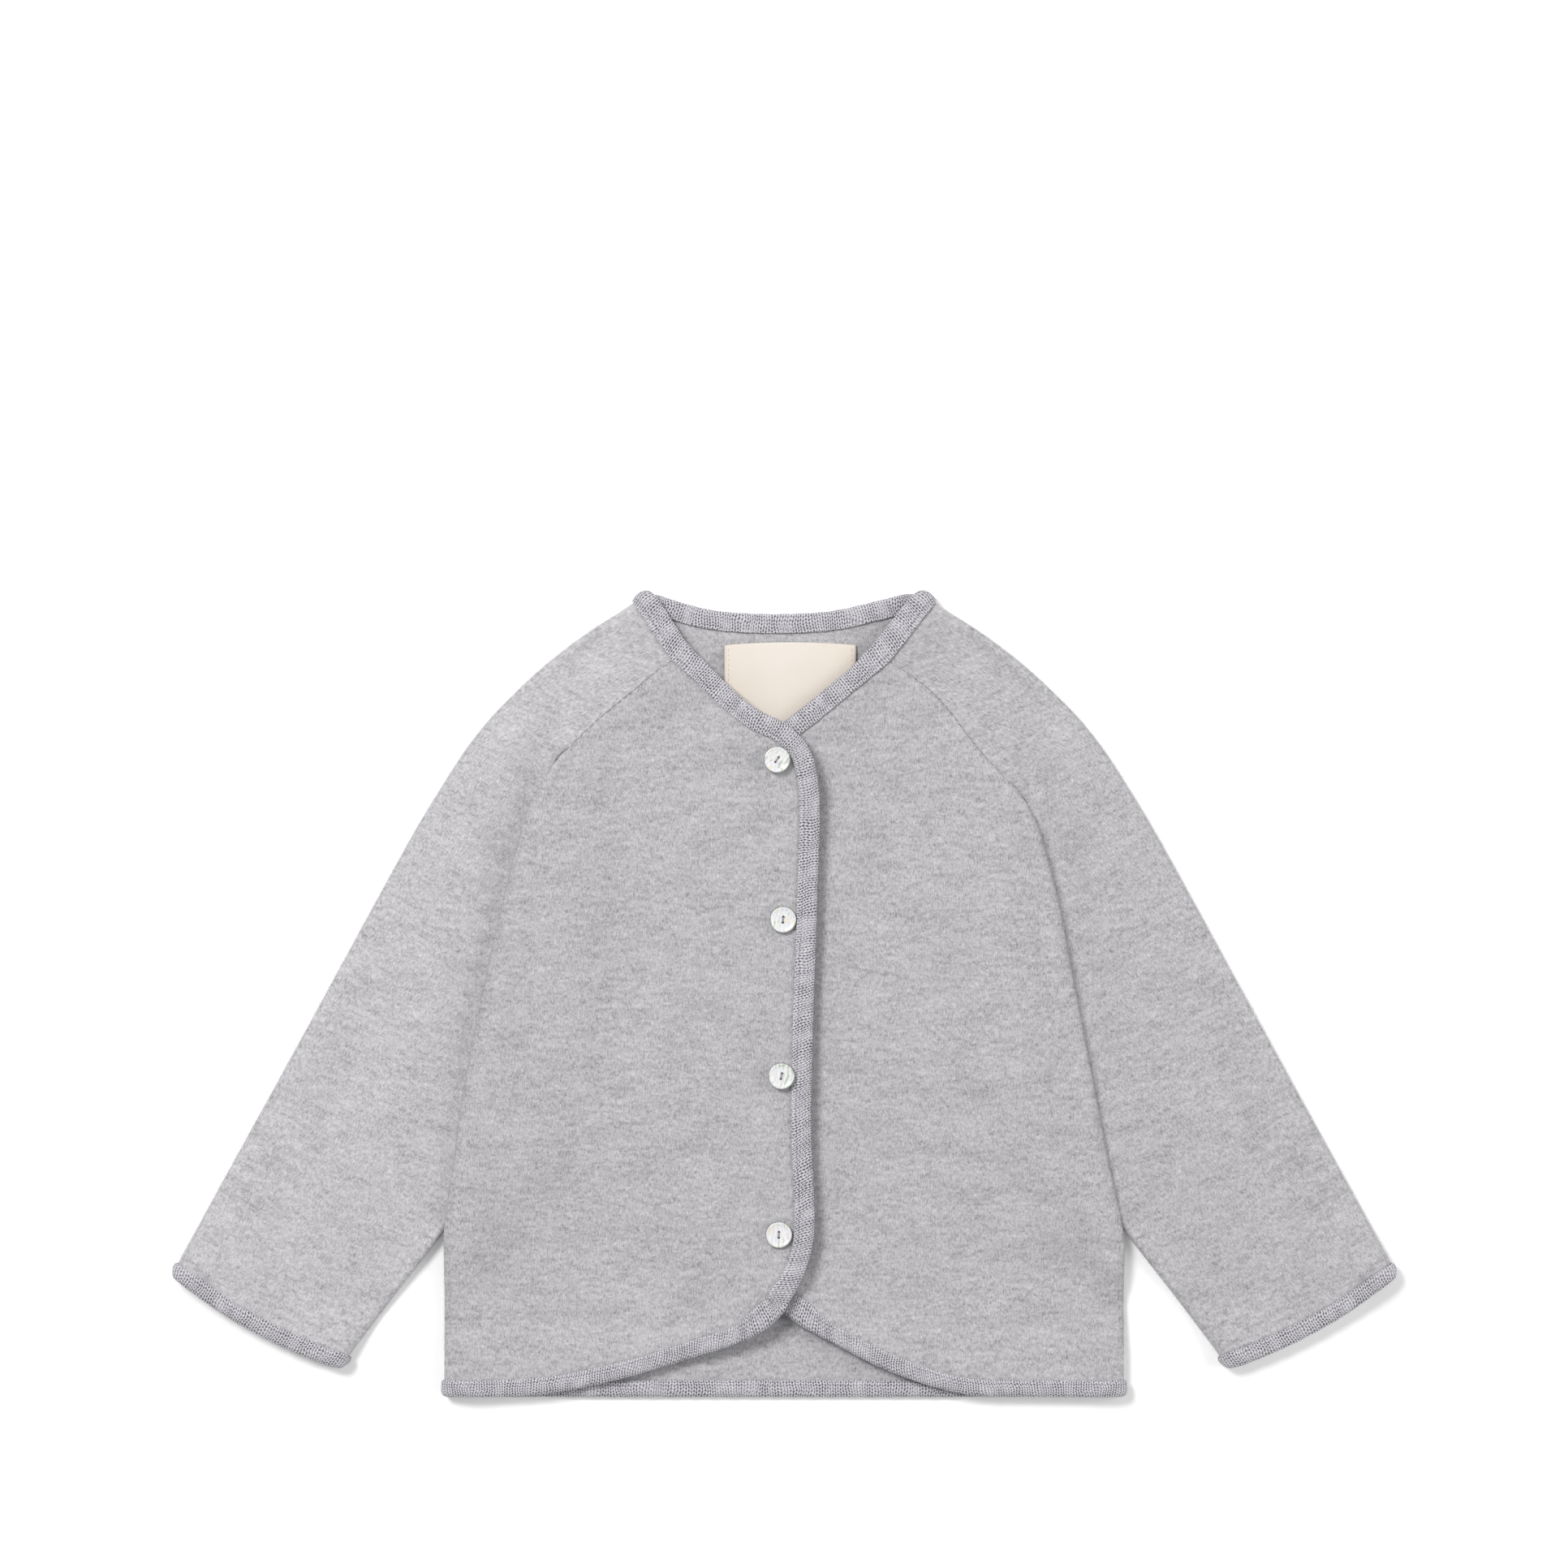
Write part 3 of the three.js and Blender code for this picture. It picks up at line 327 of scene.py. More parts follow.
class SolidProbe:
    """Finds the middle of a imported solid's wall from above or from below."""

    RINGS = (0.0, 0.3, 0.7, 1.2, 2.0, 3.2)
    AROUND = 8
    FAR = 0.2
    STEEPEST = 0.2

    def __init__(self, node: str, thickness: float) -> None:
        """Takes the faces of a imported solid.

        Args:
            node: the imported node's name.
            thickness: the thickness of its wall.
        """
        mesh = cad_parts[node].data
        corners = [v.co.copy() for v in mesh.vertices]
        faces = [tuple(p.vertices) for p in mesh.polygons]
        self.tree = BVHTree.FromPolygons(corners, faces)
        self.thickness = thickness

    def _hit(self, x: float, y: float, above: bool) -> float | None:
        """The height of the wall's middle right at a place.

        Args:
            x, y: the place in the plan.
            above: whether to look from above or from below.

        Returns:
            The height in metres, or None where it has no flat face.
        """
        side = 1 if above else -1
        start, aim = Vector((x, y, side * self.FAR)), Vector((0, 0, -side))
        spot, normal, _, _ = self.tree.ray_cast(start, aim)
        if spot is None or abs(normal.z) < self.STEEPEST:
            return None
        half = self.thickness / 2 / abs(normal.z)
        return spot.z - half if above else spot.z + half

    def middle(self, x: float, y: float, above: bool = True) -> float:
        """The height of the middle of the wall.

        Args:
            x, y: the place in the plan.
            above: whether to look at the upper layer, from above, or at the lower one.

        Returns:
            The height, taken from close by at the very edge of the wall.
        """
        for ring in self.RINGS:
            around = 1 if ring == 0 else self.AROUND
            turns = [2 * math.pi * k / around for k in range(around)]
            found = [
                self._hit(x + ring * MM * math.cos(a), y + ring * MM * math.sin(a), above)
                for a in turns
            ]
            heights = [h for h in found if h is not None]
            if heights:
                return float(np.mean(heights))
        return self.thickness / 2

    def lift(self, points: np.ndarray, above: bool = True) -> np.ndarray:
        """The points of the plan with the wall's height added to each."""
        flat = points.reshape(-1, points.shape[-1])
        heights = [self.middle(float(p[0]), float(p[1]), above) for p in flat]
        return np.column_stack([flat[:, :2], heights]).reshape(*points.shape[:-1], 3)


@dataclass
class Refined:
    """A grid refined along its first axis, and where each of the coarse rows went."""

    values: np.ndarray
    kept: list[int]


def refine(values: np.ndarray, step: float) -> Refined:
    """Puts points between the rows of a grid, on smooth runs through them.

    Args:
        values: the coarse grid.
        step: the greatest distance wanted between rows.

    Returns:
        The fine grid, with the index of each coarse row in it.
    """
    gaps = np.linalg.norm(np.diff(values, axis=0), axis=-1)
    span = np.maximum(gaps, TINY)[..., None]
    slopes = np.diff(values, axis=0) / span
    inner = (span[1:] * slopes[:-1] + span[:-1] * slopes[1:]) / (span[1:] + span[:-1])
    tangents = np.concatenate([slopes[:1], inner, slopes[-1:]])
    rows, kept = [values[0]], [0]
    for k, gap in enumerate(gaps.mean(axis=1)):
        steps = max(1, math.ceil(gap / step))
        start, end = values[k], values[k + 1]
        out, into = tangents[k] * span[k], tangents[k + 1] * span[k]
        for n in range(1, steps + 1):
            t = n / steps
            rows.append(
                (2 * t**3 - 3 * t**2 + 1) * start + (t**3 - 2 * t**2 + t) * out
                + (3 * t**2 - 2 * t**3) * end + (t**3 - t**2) * into
            )
        kept.append(len(rows) - 1)
    return Refined(np.array(rows), kept)


@dataclass(frozen=True)
class Crease:
    """A soft trough or ridge in cloth, in millimetres: its line, half width and height."""

    line: Rows
    width: float
    height: float
    spots: int = 23
    blunt: float = 0.03
    taper: float = 0.6

    def raised(self, plan: np.ndarray) -> np.ndarray:
        """How far the crease moves each point of the plan.

        Args:
            plan: points in metres, on the last axis.

        Returns:
            The distance along the cloth's normal, in metres.
        """
        shares = even(0, 1, self.spots)
        spots = SmoothLine(flat_points(self.line)).at(shares)
        away = np.linalg.norm(plan[..., None, :2] - spots, axis=-1)
        nearest = away.min(axis=-1)
        share = np.clip(shares[away.argmin(axis=-1)], self.blunt, 1 - self.blunt)
        ends = np.sin(np.pi * share) ** self.taper
        return self.height * MM * ends * np.exp(-((nearest / (self.width * MM)) ** 2))


SLEEVE_CREASES = {
    Side.RIGHT: (
        Crease(((-86, 146), (-94.5, 124.5), (-106, 95.5), (-116, 69), (-124, 37), (-133, -5),
                (-141, -45), (-149, -85), (-160, -120)), 6.5, -2.6),
        Crease(((-78, 136), (-90, 113), (-97, 100)), 5, 1.2),
        Crease(((-176, -20), (-196, -44), (-222, -60)), 10, -0.8),
        Crease(((-112, 116), (-128, 84), (-142, 40), (-154, -6), (-168, -52), (-184, -96)),
               11, 2.2),
        Crease(((-186, -112), (-206, -118), (-228, -112)), 9, 0.6),
    ),
    Side.LEFT: (
        Crease(((93, 145), (101, 121), (106, 103), (112, 80), (121, 48), (130.5, 0), (139.5, -46),
                (148, -84), (160, -120)), 6.5, -2.4),
        Crease(((84, 134), (92, 112), (98, 98)), 5, 1.0),
        Crease(((112, 118), (128, 84), (142, 40), (156, -6), (172, -56)), 11, 1.6),
        Crease(((178, -30), (192, -56), (216, -78)), 10, -0.8),
        Crease(((176, -96), (198, -116), (222, -118)), 9, 0.6),
    ),
}
FRONT_CREASES = {
    Side.RIGHT: (
        Crease(((-94, 88), (-106, 54), (-117, 10), (-128, -46), (-138, -100)), 8, 0.7),
        Crease(((-70, 104), (-60, 80), (-58, 50)), 12, -0.4),
        Crease(((-30, -60), (-60, -84), (-96, -92)), 14, -0.4),
        Crease(((-100, -130), (-70, -142), (-40, -130)), 11, 0.35),
    ),
    Side.LEFT: (
        Crease(((96, 76), (106, 42), (117, -6), (128, -60), (138, -104)), 8, 0.7),
        Crease(((34, 96), (56, 78), (66, 44)), 12, -0.4),
        Crease(((40, -20), (70, -34), (104, -30)), 14, 0.35),
        Crease(((50, -110), (80, -120), (118, -104)), 12, -0.4),
    ),
}


@dataclass(frozen=True)
class Ripple:
    """Slow unevenness of cloth that lies on a table: its length, its height and its seed."""

    length: float
    height: float
    seed: float

    def raised(self, plan: np.ndarray) -> np.ndarray:
        """How far the ripple moves each point, in metres."""
        flat = plan.reshape(-1, plan.shape[-1]) / self.length
        spots = [Vector((float(p[0]), float(p[1]), self.seed)) for p in flat]
        return self.height * np.array([noise.noise(s) for s in spots]).reshape(plan.shape[:-1])


@dataclass
class ClothSheet:
    """A wall of cloth, given by a fine grid of points in the middle of its thickness.

    Its first few coarse columns, up to UPPER_COLUMN, lie on top in any piece.
    """

    UPPER_COLUMN = 4

    grid: np.ndarray
    pattern: np.ndarray
    kept_rows: list[int]
    kept_columns: list[int]
    thickness: float = CLOTH
    rim: float = 0.32

    @classmethod
    def through(cls, coarse: np.ndarray, step: float, thickness: float = CLOTH) -> "ClothSheet":
        """Makes a smooth sheet through coarse points.

        Args:
            coarse: the coarse grid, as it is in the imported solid.
            step: the greatest distance wanted between points.
            thickness: the thickness of the wall.

        Returns:
            The sheet, whose pattern is its own plan.
        """
        tall = refine(coarse, step)
        wide = refine(tall.values.transpose(1, 0, 2), step)
        grid = wide.values.transpose(1, 0, 2)
        return cls(grid, grid[..., :2].copy(), tall.kept, wide.kept, thickness)

    def normals(self) -> np.ndarray:
        """The outward direction at each point of the grid."""
        up = np.gradient(self.grid, axis=0)
        across = np.gradient(self.grid, axis=1)
        found = unit(np.cross(across, up))
        upper = self.kept_columns[min(self.UPPER_COLUMN, len(self.kept_columns) - 1)]
        middle = found[found.shape[0] // 2, : max(2, upper)]
        return found * (1 if middle[:, 2].mean() >= 0 else -1)

    def press(self, raised: np.ndarray, where: np.ndarray | float = 1.0) -> None:
        """Moves the wall along its normals.

        Args:
            raised: the distance at each point.
            where: the share of it that counts at each point.
        """
        moved = self.grid + self.normals() * (raised * where)[..., None]
        low = np.minimum(self.grid[..., 2], self.thickness / 2)
        moved[..., 2] = np.maximum(moved[..., 2], low)
        self.grid = moved

    def inside(self, margin: float) -> np.ndarray:
        """A share that rises from 0 on the border of the sheet to 1 inside it.

        Args:
            margin: how far inside it is 1.

        Returns:
            One share for each place of the grid.
        """
        rows, columns = self.grid.shape[:2]
        up = np.linalg.norm(np.diff(self.grid, axis=0), axis=-1).cumsum(axis=0)
        across = np.linalg.norm(np.diff(self.grid, axis=1), axis=-1).cumsum(axis=1)
        up = np.vstack([np.zeros((1, columns)), up])
        across = np.hstack([np.zeros((rows, 1)), across])
        nearest = np.minimum.reduce([up, up[-1:] - up, across, across[:, -1:] - across])
        return ease(nearest / margin)

    def round_corners(
        self, edge: int, seam: int, places: tuple[int, ...], reach: float, depth: float
    ) -> None:
        """Draws an edge in softly at its corners.

        Args:
            edge: the row on the edge.
            seam: the row that stays as it is.
            places: the columns at the corners.
            reach: how far from a corner the drawing in begins.
            depth: how far the edge comes in at the corner.
        """
        walked = walk(self.grid[edge])
        apart = np.min([np.abs(walked - walked[place]) for place in places], axis=0)
        share = 1 - np.clip(apart / reach, 0, 1)
        drawn = depth * (1 - np.sqrt(1 - share**2))
        inwards = unit(self.grid[seam] - self.grid[edge]) * drawn[:, None]
        for row in range(min(edge, seam), max(edge, seam) + 1):
            self.grid[row] += inwards * (1 - abs(row - edge) / abs(seam - edge))

    def area(self) -> float:
        """The area of one layer of the cloth, in square metres."""
        up = np.diff(self.grid, axis=0)[:, :-1]
        across = np.diff(self.grid, axis=1)[:-1]
        return float(np.linalg.norm(np.cross(up, across), axis=-1).sum())

    def build(self, name: str) -> Piece:
        """Makes the closed mesh, with rounded rims.

        Args:
            name: the piece's name.

        Returns:
            The new object.
        """
        rows, columns = self.grid.shape[:2]
        away = self.normals()
        half = self.thickness / 2
        outer, inner = self.grid + away * half, self.grid - away * half
        for face in (outer, inner):
            face[..., 2] = np.maximum(face[..., 2], 0)
        ring = border(rows, columns)
        edge = self.grid[ring[:, 0], ring[:, 1]]
        run = np.roll(edge, -1, axis=0) - np.roll(edge, 1, axis=0)
        out = unit(np.cross(run, away[ring[:, 0], ring[:, 1]]))
        centre = np.clip(ring, 1, [rows - 2, columns - 2])
        inwards = self.grid[centre[:, 0], centre[:, 1]] - edge
        out *= -np.sign((out * inwards).sum(axis=1, keepdims=True))
        rim = edge + out * self.thickness * self.rim
        rim[:, 2] = np.maximum(rim[:, 2], 0)
        spots = np.vstack([outer.reshape(-1, 3), inner.reshape(-1, 3), rim])
        faces = sheet_faces(rows, columns, ring)
        flat = self.pattern.reshape(-1, 2)
        pattern = np.vstack([flat, flat, self.pattern[ring[:, 0], ring[:, 1]]])
        return new_piece(name, spots, faces, pattern)


def border(rows: int, columns: int) -> np.ndarray:
    """The border of a grid.

    Args:
        rows, columns: the size of the grid.

    Returns:
        The places on it, in order round it.
    """
    low = [(0, i) for i in range(columns)]
    right = [(j, columns - 1) for j in range(1, rows)]
    high = [(rows - 1, i) for i in range(columns - 2, -1, -1)]
    left = [(j, 0) for j in range(rows - 2, 0, -1)]
    return np.array(low + right + high + left)


def sheet_faces(rows: int, columns: int, ring: np.ndarray) -> np.ndarray:
    """The quads of a closed sheet: its outer grid, its inner grid and the rim between them.

    Args:
        rows: rows of the grid.
        columns: columns of the grid.
        ring: the places on the grid's border, in order.

    Returns:
        One row of four point numbers for each quad.
    """
    count = rows * columns
    number = np.arange(count).reshape(rows, columns)
    a, b, c, d = number[:-1, :-1], number[:-1, 1:], number[1:, 1:], number[1:, :-1]
    outer = np.stack([a, b, c, d], axis=-1).reshape(-1, 4)
    inner = outer[:, ::-1] + count
    top = ring[:, 0] * columns + ring[:, 1]
    low = top + count
    mid = 2 * count + np.arange(len(ring))
    turn = [np.roll(k, -1) for k in (top, mid, low)]
    above = np.stack([top, mid, turn[1], turn[0]], axis=-1)
    below = np.stack([mid, low, turn[2], turn[1]], axis=-1)
    return np.vstack([outer, inner, above, below])


def new_piece(
    name: str, spots: np.ndarray, faces: np.ndarray | list, pattern: np.ndarray
) -> Piece:
    """Makes a smooth-shaded mesh whose faces point out.

    Args:
        name: the piece's name.
        spots: its points, in metres.
        faces: its faces, as rows of point numbers.
        pattern: a place on the cloth's flat pattern for each point, in metres.

    Returns:
        The new object, linked to the scene.
    """
    mesh = bpy.data.meshes.new(name)
    mesh.from_pydata(spots.tolist(), [], [list(map(int, f)) for f in faces])
    if signed_volume(mesh) < 0:
        mesh.flip_normals()
    mesh.polygons.foreach_set("use_smooth", np.ones(len(mesh.polygons), bool))
    layer = mesh.uv_layers.new(name="pattern")
    loops = np.zeros(len(mesh.loops), int)
    mesh.loops.foreach_get("vertex_index", loops)
    layer.data.foreach_set("uv", pattern[loops].astype(np.float32).ravel())
    mesh.validate()
    mesh.update()
    piece = bpy.data.objects.new(name, mesh)
    bpy.context.scene.collection.objects.link(piece)
    return piece


def signed_volume(mesh: bpy.types.Mesh) -> float:
    """The volume inside a closed mesh.

    Args:
        mesh: the mesh.

    Returns:
        The volume, below zero where the faces point in.
    """
    mesh.calc_loop_triangles()
    corners = np.zeros(len(mesh.vertices) * 3)
    mesh.vertices.foreach_get("co", corners)
    index = np.zeros(len(mesh.loop_triangles) * 3, int)
    mesh.loop_triangles.foreach_get("vertices", index)
    a, b, c = corners.reshape(-1, 3)[index.reshape(-1, 3)].transpose(1, 0, 2)
    return float((a * np.cross(b, c)).sum()) / 6


def add_weight(piece: Piece, name: str, values: np.ndarray) -> None:
    """Stores a number at each point of a piece, for its finish to read."""
    piece.data.attributes.new(name, "FLOAT", "POINT").data.foreach_set(
        "value", np.ascontiguousarray(values, np.float32)
    )


@dataclass(frozen=True)
class Fold:
    """Where a front folds over its sleeve, taken from points a little below the raglan's end."""

    lines: SideLines
    clear: float = 2.0

    @property
    def crossing(self) -> tuple[float, float]:
        """The low end of the raglan seam, as distance out and height, in millimetres."""
        return self.lines.raglan[-1]

    def out(self, y: float) -> float:
        """The fold's distance out at a height, both in metres."""
        rows = self.lines.fold
        heights = [r[1] * MM for r in rows]
        return float(np.interp(-y, [-h for h in heights], [r[0] * MM for r in rows]))

    def line(self, inwards: float) -> SmoothLine:
        """The fold from the hem to the raglan seam.

        Args:
            inwards: how far it is moved towards the middle of the body.

        Returns:
            The line.
        """
        far, high = self.crossing
        rows = [r for r in self.lines.fold if r[1] < high - self.clear][::-1] + [(far, high)]
        sign = self.lines.side.value
        points = flat_points(tuple(rows), sign)
        points[:, 0] -= sign * inwards
        return SmoothLine(points)


@dataclass
class RaglanSeam:
    """The seam between a front and its sleeve, from the neck to where it goes under the fold."""

    lines: SideLines

    def __post_init__(self) -> None:
        """Works out the seam's two edges."""
        self.sign = self.lines.side.value
        apart = sideways(RAGLAN_OUTWARDS, self.sign) * RAGLAN_GAP
        points = flat_points(self.lines.raglan, self.sign)
        self.inner, self.outer = SmoothLine(points), SmoothLine(points + apart)

    def heights(self) -> np.ndarray:
        """The heights at which both cloths meet, from the neck down, all but the last place."""
        shares = even(0, 1, RAGLAN_STEPS)[:-1]
        label = self.lines.side.label
        front = SolidProbe(f"front_{label}", CLOTH).lift(self.inner.at(shares))[:, 2]
        sleeve = SolidProbe(f"sleeve_{label}", CLOTH).lift(self.outer.at(shares))[:, 2]
        return np.maximum(front, sleeve)


@dataclass
class FrontEdge:
    """The line of a front's outer edge, and the end of its cloth at the neck."""

    lines: SideLines

    def __post_init__(self) -> None:
        """Works out the line and its end."""
        self.sign = self.lines.side.value
        self.line = SmoothLine(flat_points(self.lines.edge))
        self.run = self.line.tangent(1.0)[0]
        self.top = self.line.beside(1.0, -self.sign * TURN_IN)[0]


@dataclass
class BackPanel:
    """The back, one flat panel from the hem to the neck."""

    across: int = 12
    up: int = 14
    inwards: float = 0.8 * MM
    side_steps: tuple[int, int] = (11, 10)
    low_share: float = 0.1
    step: float = 3.0 * MM
    still_rim: float = 14 * MM
    ripple: Ripple = Ripple(48 * MM, 0.5 * MM, 3.0)
    creases: tuple[Crease, ...] = (
        Crease(((-70, 120), (-30, 128), (20, 124)), 9, 0.5),
        Crease(((-110, -40), (-60, -20), (0, -24)), 12, 0.5),
        Crease(((30, -110), (80, -96), (120, -70)), 11, 0.45),
    )

    def coarse(self) -> np.ndarray:
        """The panel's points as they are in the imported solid, with the turned rows at both ends."""
        hem_top = HEM_Y + HEM_WIDTH
        neck = SmoothLine(flat_points(BACK_NECK_EDGE))
        shares = even(0, 1, self.across)
        top = neck.beside(shares, -NECK_WIDTH)
        neck_row = neck.beside(shares, -TURN_IN)
        borders = []
        for lines, steps, end in zip((RIGHT_LINES, LEFT_LINES), self.side_steps, (top[0], top[-1])):
            sign = lines.side.value
            side_line = Fold(lines).line(self.inwards)
            low = side_line.share_at_height(hem_top, 0, self.low_share)
            rise = side_line.at(even(low, 1, steps))
            rise[0] = (sign * (lines.fold[-1][0] * MM - self.inwards), hem_top)
            rest = even(0, 1, self.up - steps)[1:, None]
            borders.append(np.vstack([rise, rise[-1] * (1 - rest) + end * rest]))
        bottom = borders[0][0] + (borders[1][0] - borders[0][0]) * shares[:, None]
        plan = patch(bottom, top, *borders)
        hem_row = np.column_stack([bottom[:, 0], np.full(len(bottom), HEM_Y + TURN_IN)])
        plan = np.concatenate([hem_row[None], plan, neck_row[None]])
        height = np.full(plan.shape[:2], CLOTH / 2)
        height[[0, 1, -2, -1]] = SHELL
        return np.concatenate([plan, height[..., None]], axis=-1)

    def sheet(self) -> ClothSheet:
        """The panel with its slight unevenness."""
        cloth = ClothSheet.through(self.coarse(), self.step)
        still = cloth.inside(self.still_rim)
        raised = self.ripple.raised(cloth.grid) + sum(c.raised(cloth.grid) for c in self.creases)
        cloth.press(np.maximum(raised, 0), still)
        return cloth


@dataclass
class Station:
    """One row across a sleeve, from its inner edge to its outer one; roll is its turn's radius."""

    front: np.ndarray
    back: np.ndarray
    outer: np.ndarray
    roll: float
    turned: bool
    bow: np.ndarray

    @property
    def away(self) -> np.ndarray:
        """The direction from the inner edge to the outer one."""
        return unit(self.outer - self.front)

    @property
    def inset(self) -> float:
        """How far the wall's middle starts inside the outline."""
        return CLOTH / 2 + self.roll

    def bowed(self, start: np.ndarray, end: np.ndarray, places: tuple[float, ...]) -> np.ndarray:
        """Points at shares of the way from start to end, with the row's bow."""
        share = np.array(places)[:, None]
        return start + (end - start) * share + self.bow * 4 * share * (1 - share)


@dataclass
class Sleeve:
    """A raglan sleeve: its lower layer, the turn at its outer edge and its upper layer."""

    lines: SideLines
    back: np.ndarray
    step: float = 2.4 * MM
    low_shares: tuple[float, ...] = (0, 0.3, 0.55, 0.8, 1)
    high_shares: tuple[float, ...] = (0.33, 0.67)
    fold_step: float = 0.01
    fold_end: float = 0.6
    hill_in: float = 1.5 * MM
    least_hill: float = 2.2 * MM
    valley_out: float = 3.5 * MM
    least_valley: float = 4.5 * MM
    bow_rows: tuple[int, int] = (6, 4)
    seam_step: float = 0.05 * MM
    still_rim: float = 9 * MM
    creases: tuple[Crease, ...] = ()
    ripple: Ripple = Ripple(38 * MM, 0.9 * MM, 11.0)
    dip: float = 0.5 * MM
    neck_rounding: tuple[float, float] = (8 * MM, 2.6 * MM)
    cuff_rounding: tuple[float, float] = (6 * MM, 3.0 * MM)
    rolls: dict[int, float] = field(
        default_factory=lambda: {0: BOUND_ROLL, 1: BOUND_ROLL, 2: 2.1 * MM, 3: 1.6 * MM})

    def __post_init__(self) -> None:
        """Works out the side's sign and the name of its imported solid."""
        self.sign = self.lines.side.value
        self.name = f"sleeve_{self.lines.side.label}"

    def stations(self) -> list[Station]:
        """The rows of the sleeve, from the neck to the cuff."""
        sign = self.sign
        neck_point, tip, heel = flat_points((NECK_POINT, CUFF_TIP, CUFF_HEEL), sign)
        outer = SmoothLine(flat_points((NECK_POINT, *SLEEVE_OUTER, CUFF_TIP), sign))
        raglan = RaglanSeam(self.lines).outer
        crossing = raglan.at(1.0)[0]
        inner = SmoothLine(np.vstack([crossing, flat_points(SLEEVE_INNER, sign)]))
        bow = unit(sideways(CUFF_OUTWARDS, sign))
        corner = 0 if sign < 0 else -1
        beside = sideways(BACK_OUTWARDS, sign) * GAP
        edge = FrontEdge(self.lines)
        spots = [(
            edge.top + edge.run * GAP,
            self.back[-1, corner, :2] + beside,
            neck_point + sideways(NECK_OUTWARDS, sign) * TURN_IN,
        )]
        start = self.back[-2, corner, :2] + beside
        for share in even(0, 1, RAGLAN_STEPS):
            spot = outer.at(mix(NECK_SEAM_SHARE, SHOULDER_SHARE, share))[0]
            spots.append((raglan.at(share)[0], start + (crossing - start) * share, spot))
        for share in even(0, 1, ARM_STEPS)[1:]:
            spot = outer.at(mix(SHOULDER_SHARE, 1 - CUFF_WIDTH / outer.length, share))[0]
            spots.append((inner.at(share)[0], inner.at(share)[0], spot))
        spots.append((heel - bow * TURN_IN, heel - bow * TURN_IN, tip - bow * TURN_IN))
        count = len(spots)
        begins, over = self.bow_rows
        return [
            Station(
                *spot,
                roll=self.rolls.get(min(k, count - 1 - k), SLEEVE_ROLL),
                turned=k > RAGLAN_STEPS + 1,
                bow=bow * CUFF_BOW * float(ease((k - count + begins) / over)),
            )
            for k, spot in enumerate(spots)
        ]

    def coarse(self) -> np.ndarray:
        """The sleeve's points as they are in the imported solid, round its whole section."""
        probe = SolidProbe(self.name, CLOTH)
        seam_heights = RaglanSeam(self.lines).heights()
        rows = []
        for k, station in enumerate(self.stations()):
            moved = station.away * (station.inset if station.turned else 0)
            start, end = station.back + moved, station.outer - station.away * station.inset
            under = probe.lift(station.bowed(start, end, self.low_shares), above=False)
            inner, end = station.front + moved, under[-1, :2]
            upper = probe.lift(station.bowed(inner, end, self.places(inner, end)))
            beside = np.minimum(upper[:-2, 2], upper[2:, 2]) - self.dip
            upper[1:-1, 2] = np.maximum(upper[1:-1, 2], beside)
            if 0 < k <= len(seam_heights):
                upper[0, 2] = seam_heights[k - 1]
            rows.append(self.section(station, under, upper))
        return np.array(rows)

    def places(self, inner: np.ndarray, end: np.ndarray) -> tuple[float, ...]:
        """Where the points of an upper row lie: on the hill over the fold, in its valley, and out.

        Args:
            inner: the row's inner end.
            end: its outer end.

        Returns:
            Their shares of the way out, from 0 at the inner end.
        """
        fold = Fold(self.lines)
        span = float(np.linalg.norm(end - inner))
        share = 0.0
        while share < self.fold_end:
            spot = inner + (end - inner) * share
            if abs(spot[0]) > fold.out(spot[1]):
                break
            share += self.fold_step
        hill = max(share - self.hill_in / span, self.least_hill / span)
        valley = max(share + self.valley_out / span, hill + self.least_valley / span)
        return 0, hill, valley, *(mix(valley, 1, further) for further in self.high_shares)

    def section(self, station: Station, under: np.ndarray, upper: np.ndarray) -> np.ndarray:
        """One whole section of the sleeve.

        Args:
            station: where it is.
            under: the points of the lower layer, from the inner edge out.
            upper: the points of the upper layer, from the inner edge out.

        Returns:
            The points from the inner curl, over the top and round the outer turn, back below.
        """
        roll, away = station.roll, np.append(station.away, 0)
        end = np.array([*under[-1, :2], 0])
        base = under[-1, 2]
        top = end + (0, 0, base + 2 * roll)
        turn = [
            end + away * roll * math.cos(a) + (0, 0, base + roll + roll * math.sin(a))
            for a in (math.pi / 4, 0, -math.pi / 4)
        ]
        middle = (upper[0, 2] + under[0, 2]) / 2
        size = (upper[0, 2] - under[0, 2]) / 2

        def curl(spot: np.ndarray, sense: int) -> list[np.ndarray]:
            """Turns the end of a layer in towards the other one.

            Args:
                spot: the end of the layer.
                sense: 1 for the upper layer, -1 for the lower one.

            Returns:
                The two points of the turn.
            """
            if not station.turned:
                return [spot - away * self.seam_step * n for n in (1, 2)]
            flat = np.array([spot[0], spot[1], 0])
            return [
                flat - away * roll * math.sin(a) + (0, 0, middle + sense * size * math.cos(a))
                for a in (math.pi / 4, math.pi / 2 - SLIT)
            ]

        above, below = curl(upper[0], 1)[::-1], curl(under[0], -1)
        return np.array([*above, *upper, top, *turn, *under[::-1], *below])

